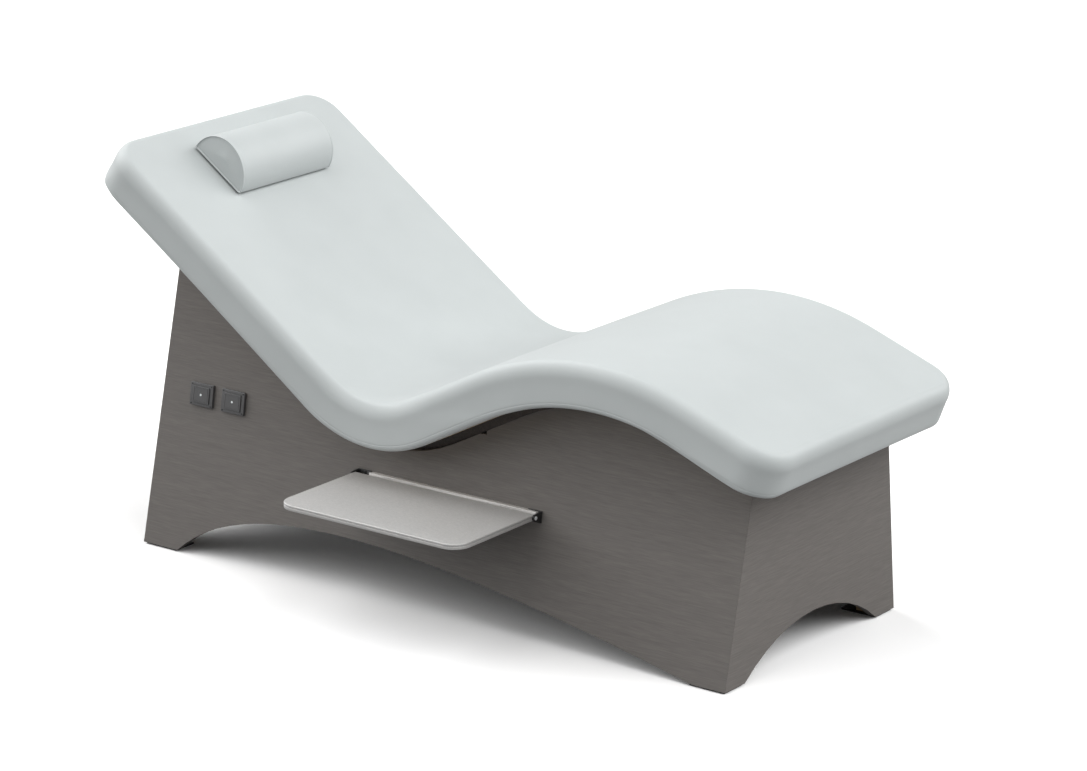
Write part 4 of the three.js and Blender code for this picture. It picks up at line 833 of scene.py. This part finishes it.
def frame_screws(number):
    """Four small screws in the corners of a switch's frame, their heads a little proud of it."""
    from_side, from_end, proud = 4.4, 3.6, 0.6
    node = f"switch_{number}_frame"
    width, height = plan_of(node)
    face = outer_face(node, OUT_PANEL) + OUT_PANEL * proud
    screws = []
    for side in (-1, 1):
        for rise in (-1, 1):
            screw = socket_screw(f"corner_screw_{side}_{rise}", radius=1.9, head=0.7, shank=1, length=1)
            sideways, upwards = side * (width / 2 - from_side), rise * (height / 2 - from_end)
            screws.append(lay(screw, face + ACROSS * sideways + UP_PANEL * upwards, ACROSS, UP_PANEL))
    finish_hard(joined(screws, f"{node}_screws"), "base", "black_plastic")


# The mains socket in the head end panel

END_LEAN = math.radians(3.7)  # how far the head end panel leans back


def inlet_blades():
    """The three flat contact blades inside the mains socket."""
    blade_size, blade_edge, set_back, apart, rise = (2, 4, 15), 0.6, 0.7, 7, 2
    out = Vector((-math.cos(END_LEAN), 0, math.sin(END_LEAN)))
    across = -SIDEWAYS
    up = out.cross(across)
    face = outer_face("mains_inlet", out) - out * set_back
    blades = []
    for sideways, upwards in ((-apart, -rise), (apart, -rise), (0, rise)):
        blade = block(f"blade_{sideways}", blade_size)
        pick(blade, at_level(0), "EDGE")
        bpy.ops.mesh.bevel(offset=blade_edge * MM, segments=2, affect="EDGES")
        bpy.ops.object.mode_set(mode="OBJECT")
        blades.append(lay(blade, face + across * sideways + up * upwards, across, up))
    finish_hard(joined(blades, "mains_inlet_blades"), "base", "bright_steel")


# All new pieces

pad_upholstery()
bolster_cushion()
shelf_tray()
# the rail bar wears the lighter copy of the shelf's coat, painted brighter for the light on its top
eased("shelf_wall_rail", "shelf_rail_bar", "base", "brushed_steel", 0.6, 3, finish="brushed_steel_painted_lighter")
for end in ("left", "right"):
    eased(f"shelf_bracket_{end}", f"shelf_bracket_{end}_casting", "base", "black_metal", 0.4, 2)
    eased(f"shelf_pivot_pin_{end}", f"shelf_pivot_pin_{end}_domed", "shelf", "bright_steel", 0.8, 3)
for number in (1, 2):
    switch_frame(number)
    switch_key(number)
    frame_screws(number)
    switch_lens(number)
shelf_screws("bracket_socket_screw", "bracket_screw", count=4, length=13, finish="black_metal")
# the rail's screws wear the same lighter copy of the coat, painted brighter for the light on the rail
shelf_screws("rail_socket_screw", "wall_rail_screw", count=2, length=10, finish="brushed_steel_painted_lighter")
inlet_blades()


# Finishes of the solids that stay; the end panels' grain runs across the lounger

for part in frame["record"]["subparts"]:
    crosswise = part["node"] in ("head_end_panel", "foot_end_panel")
    give(frame["nodes"][part["node"]], "panel_laminate_across" if crosswise else part["material_slot"])


# Floor and walls of the studio

FLOOR_REACH = 30
SKY_LIGHT, WALL_GLOW = 0.05, 0.3  # what the studio's walls throw on all faces, and show in gloss

corners = [(x * FLOOR_REACH, y * FLOOR_REACH, 0) for x, y in ((-1, -1), (1, -1), (1, 1), (-1, 1))]
floor = new_piece("floor", corners, [(0, 1, 2, 3)])
floor.data.materials.append(studio_floor())

scene.view_settings.view_transform = "Standard"

walls = bpy.data.worlds.new("studio")
scene.world = walls
walls.use_nodes = True
walls.node_tree.nodes.clear()
seen = put(walls, "ShaderNodeLightPath")
gloss = put(walls, "ShaderNodeMath", {1: WALL_GLOW}, {0: seen.outputs["Is Glossy Ray"]},
            operation="MULTIPLY")
glow = put(walls, "ShaderNodeMath", {1: SKY_LIGHT}, {0: gloss.outputs[0]}, operation="MAXIMUM")
open_view = put(walls, "ShaderNodeMath", None, {0: glow.outputs[0], 1: seen.outputs["Is Camera Ray"]},
                operation="MAXIMUM")
white = put(walls, "ShaderNodeBackground", {"Color": srgb("#ffffff")}, {"Strength": open_view.outputs[0]})
put(walls, "ShaderNodeOutputWorld", None, {"Surface": white.outputs[0]})


# Lights

def softbox(name, bearing, height, spread, strength):
    """A very wide soft light, as a wall or ceiling of cloth gives: its bearing turns from the foot end
    towards the far side, its height is above the floor, and its spread is what it fills, all in degrees."""
    lamp = bpy.data.objects.new(name, bpy.data.lights.new(name, "SUN"))
    scene.collection.objects.link(lamp)
    lamp.data.angle = math.radians(spread)
    lamp.data.energy = strength
    level, up = math.cos(math.radians(height)), math.sin(math.radians(height))
    along, aside = towards(math.radians(bearing)) * level
    lamp.rotation_euler = Vector((-along, -aside, -up)).to_track_quat("-Z", "Y").to_euler()


softbox("far_foot_softbox", bearing=45, height=28, spread=50, strength=1.84)
softbox("head_end_softbox", bearing=180, height=28, spread=50, strength=2.1)
softbox("foot_end_softbox", bearing=0, height=45, spread=50, strength=1.8)
softbox("near_head_softbox", bearing=225, height=45, spread=80, strength=2.1)
softbox("near_foot_softbox", bearing=315, height=45, spread=80, strength=0.7)
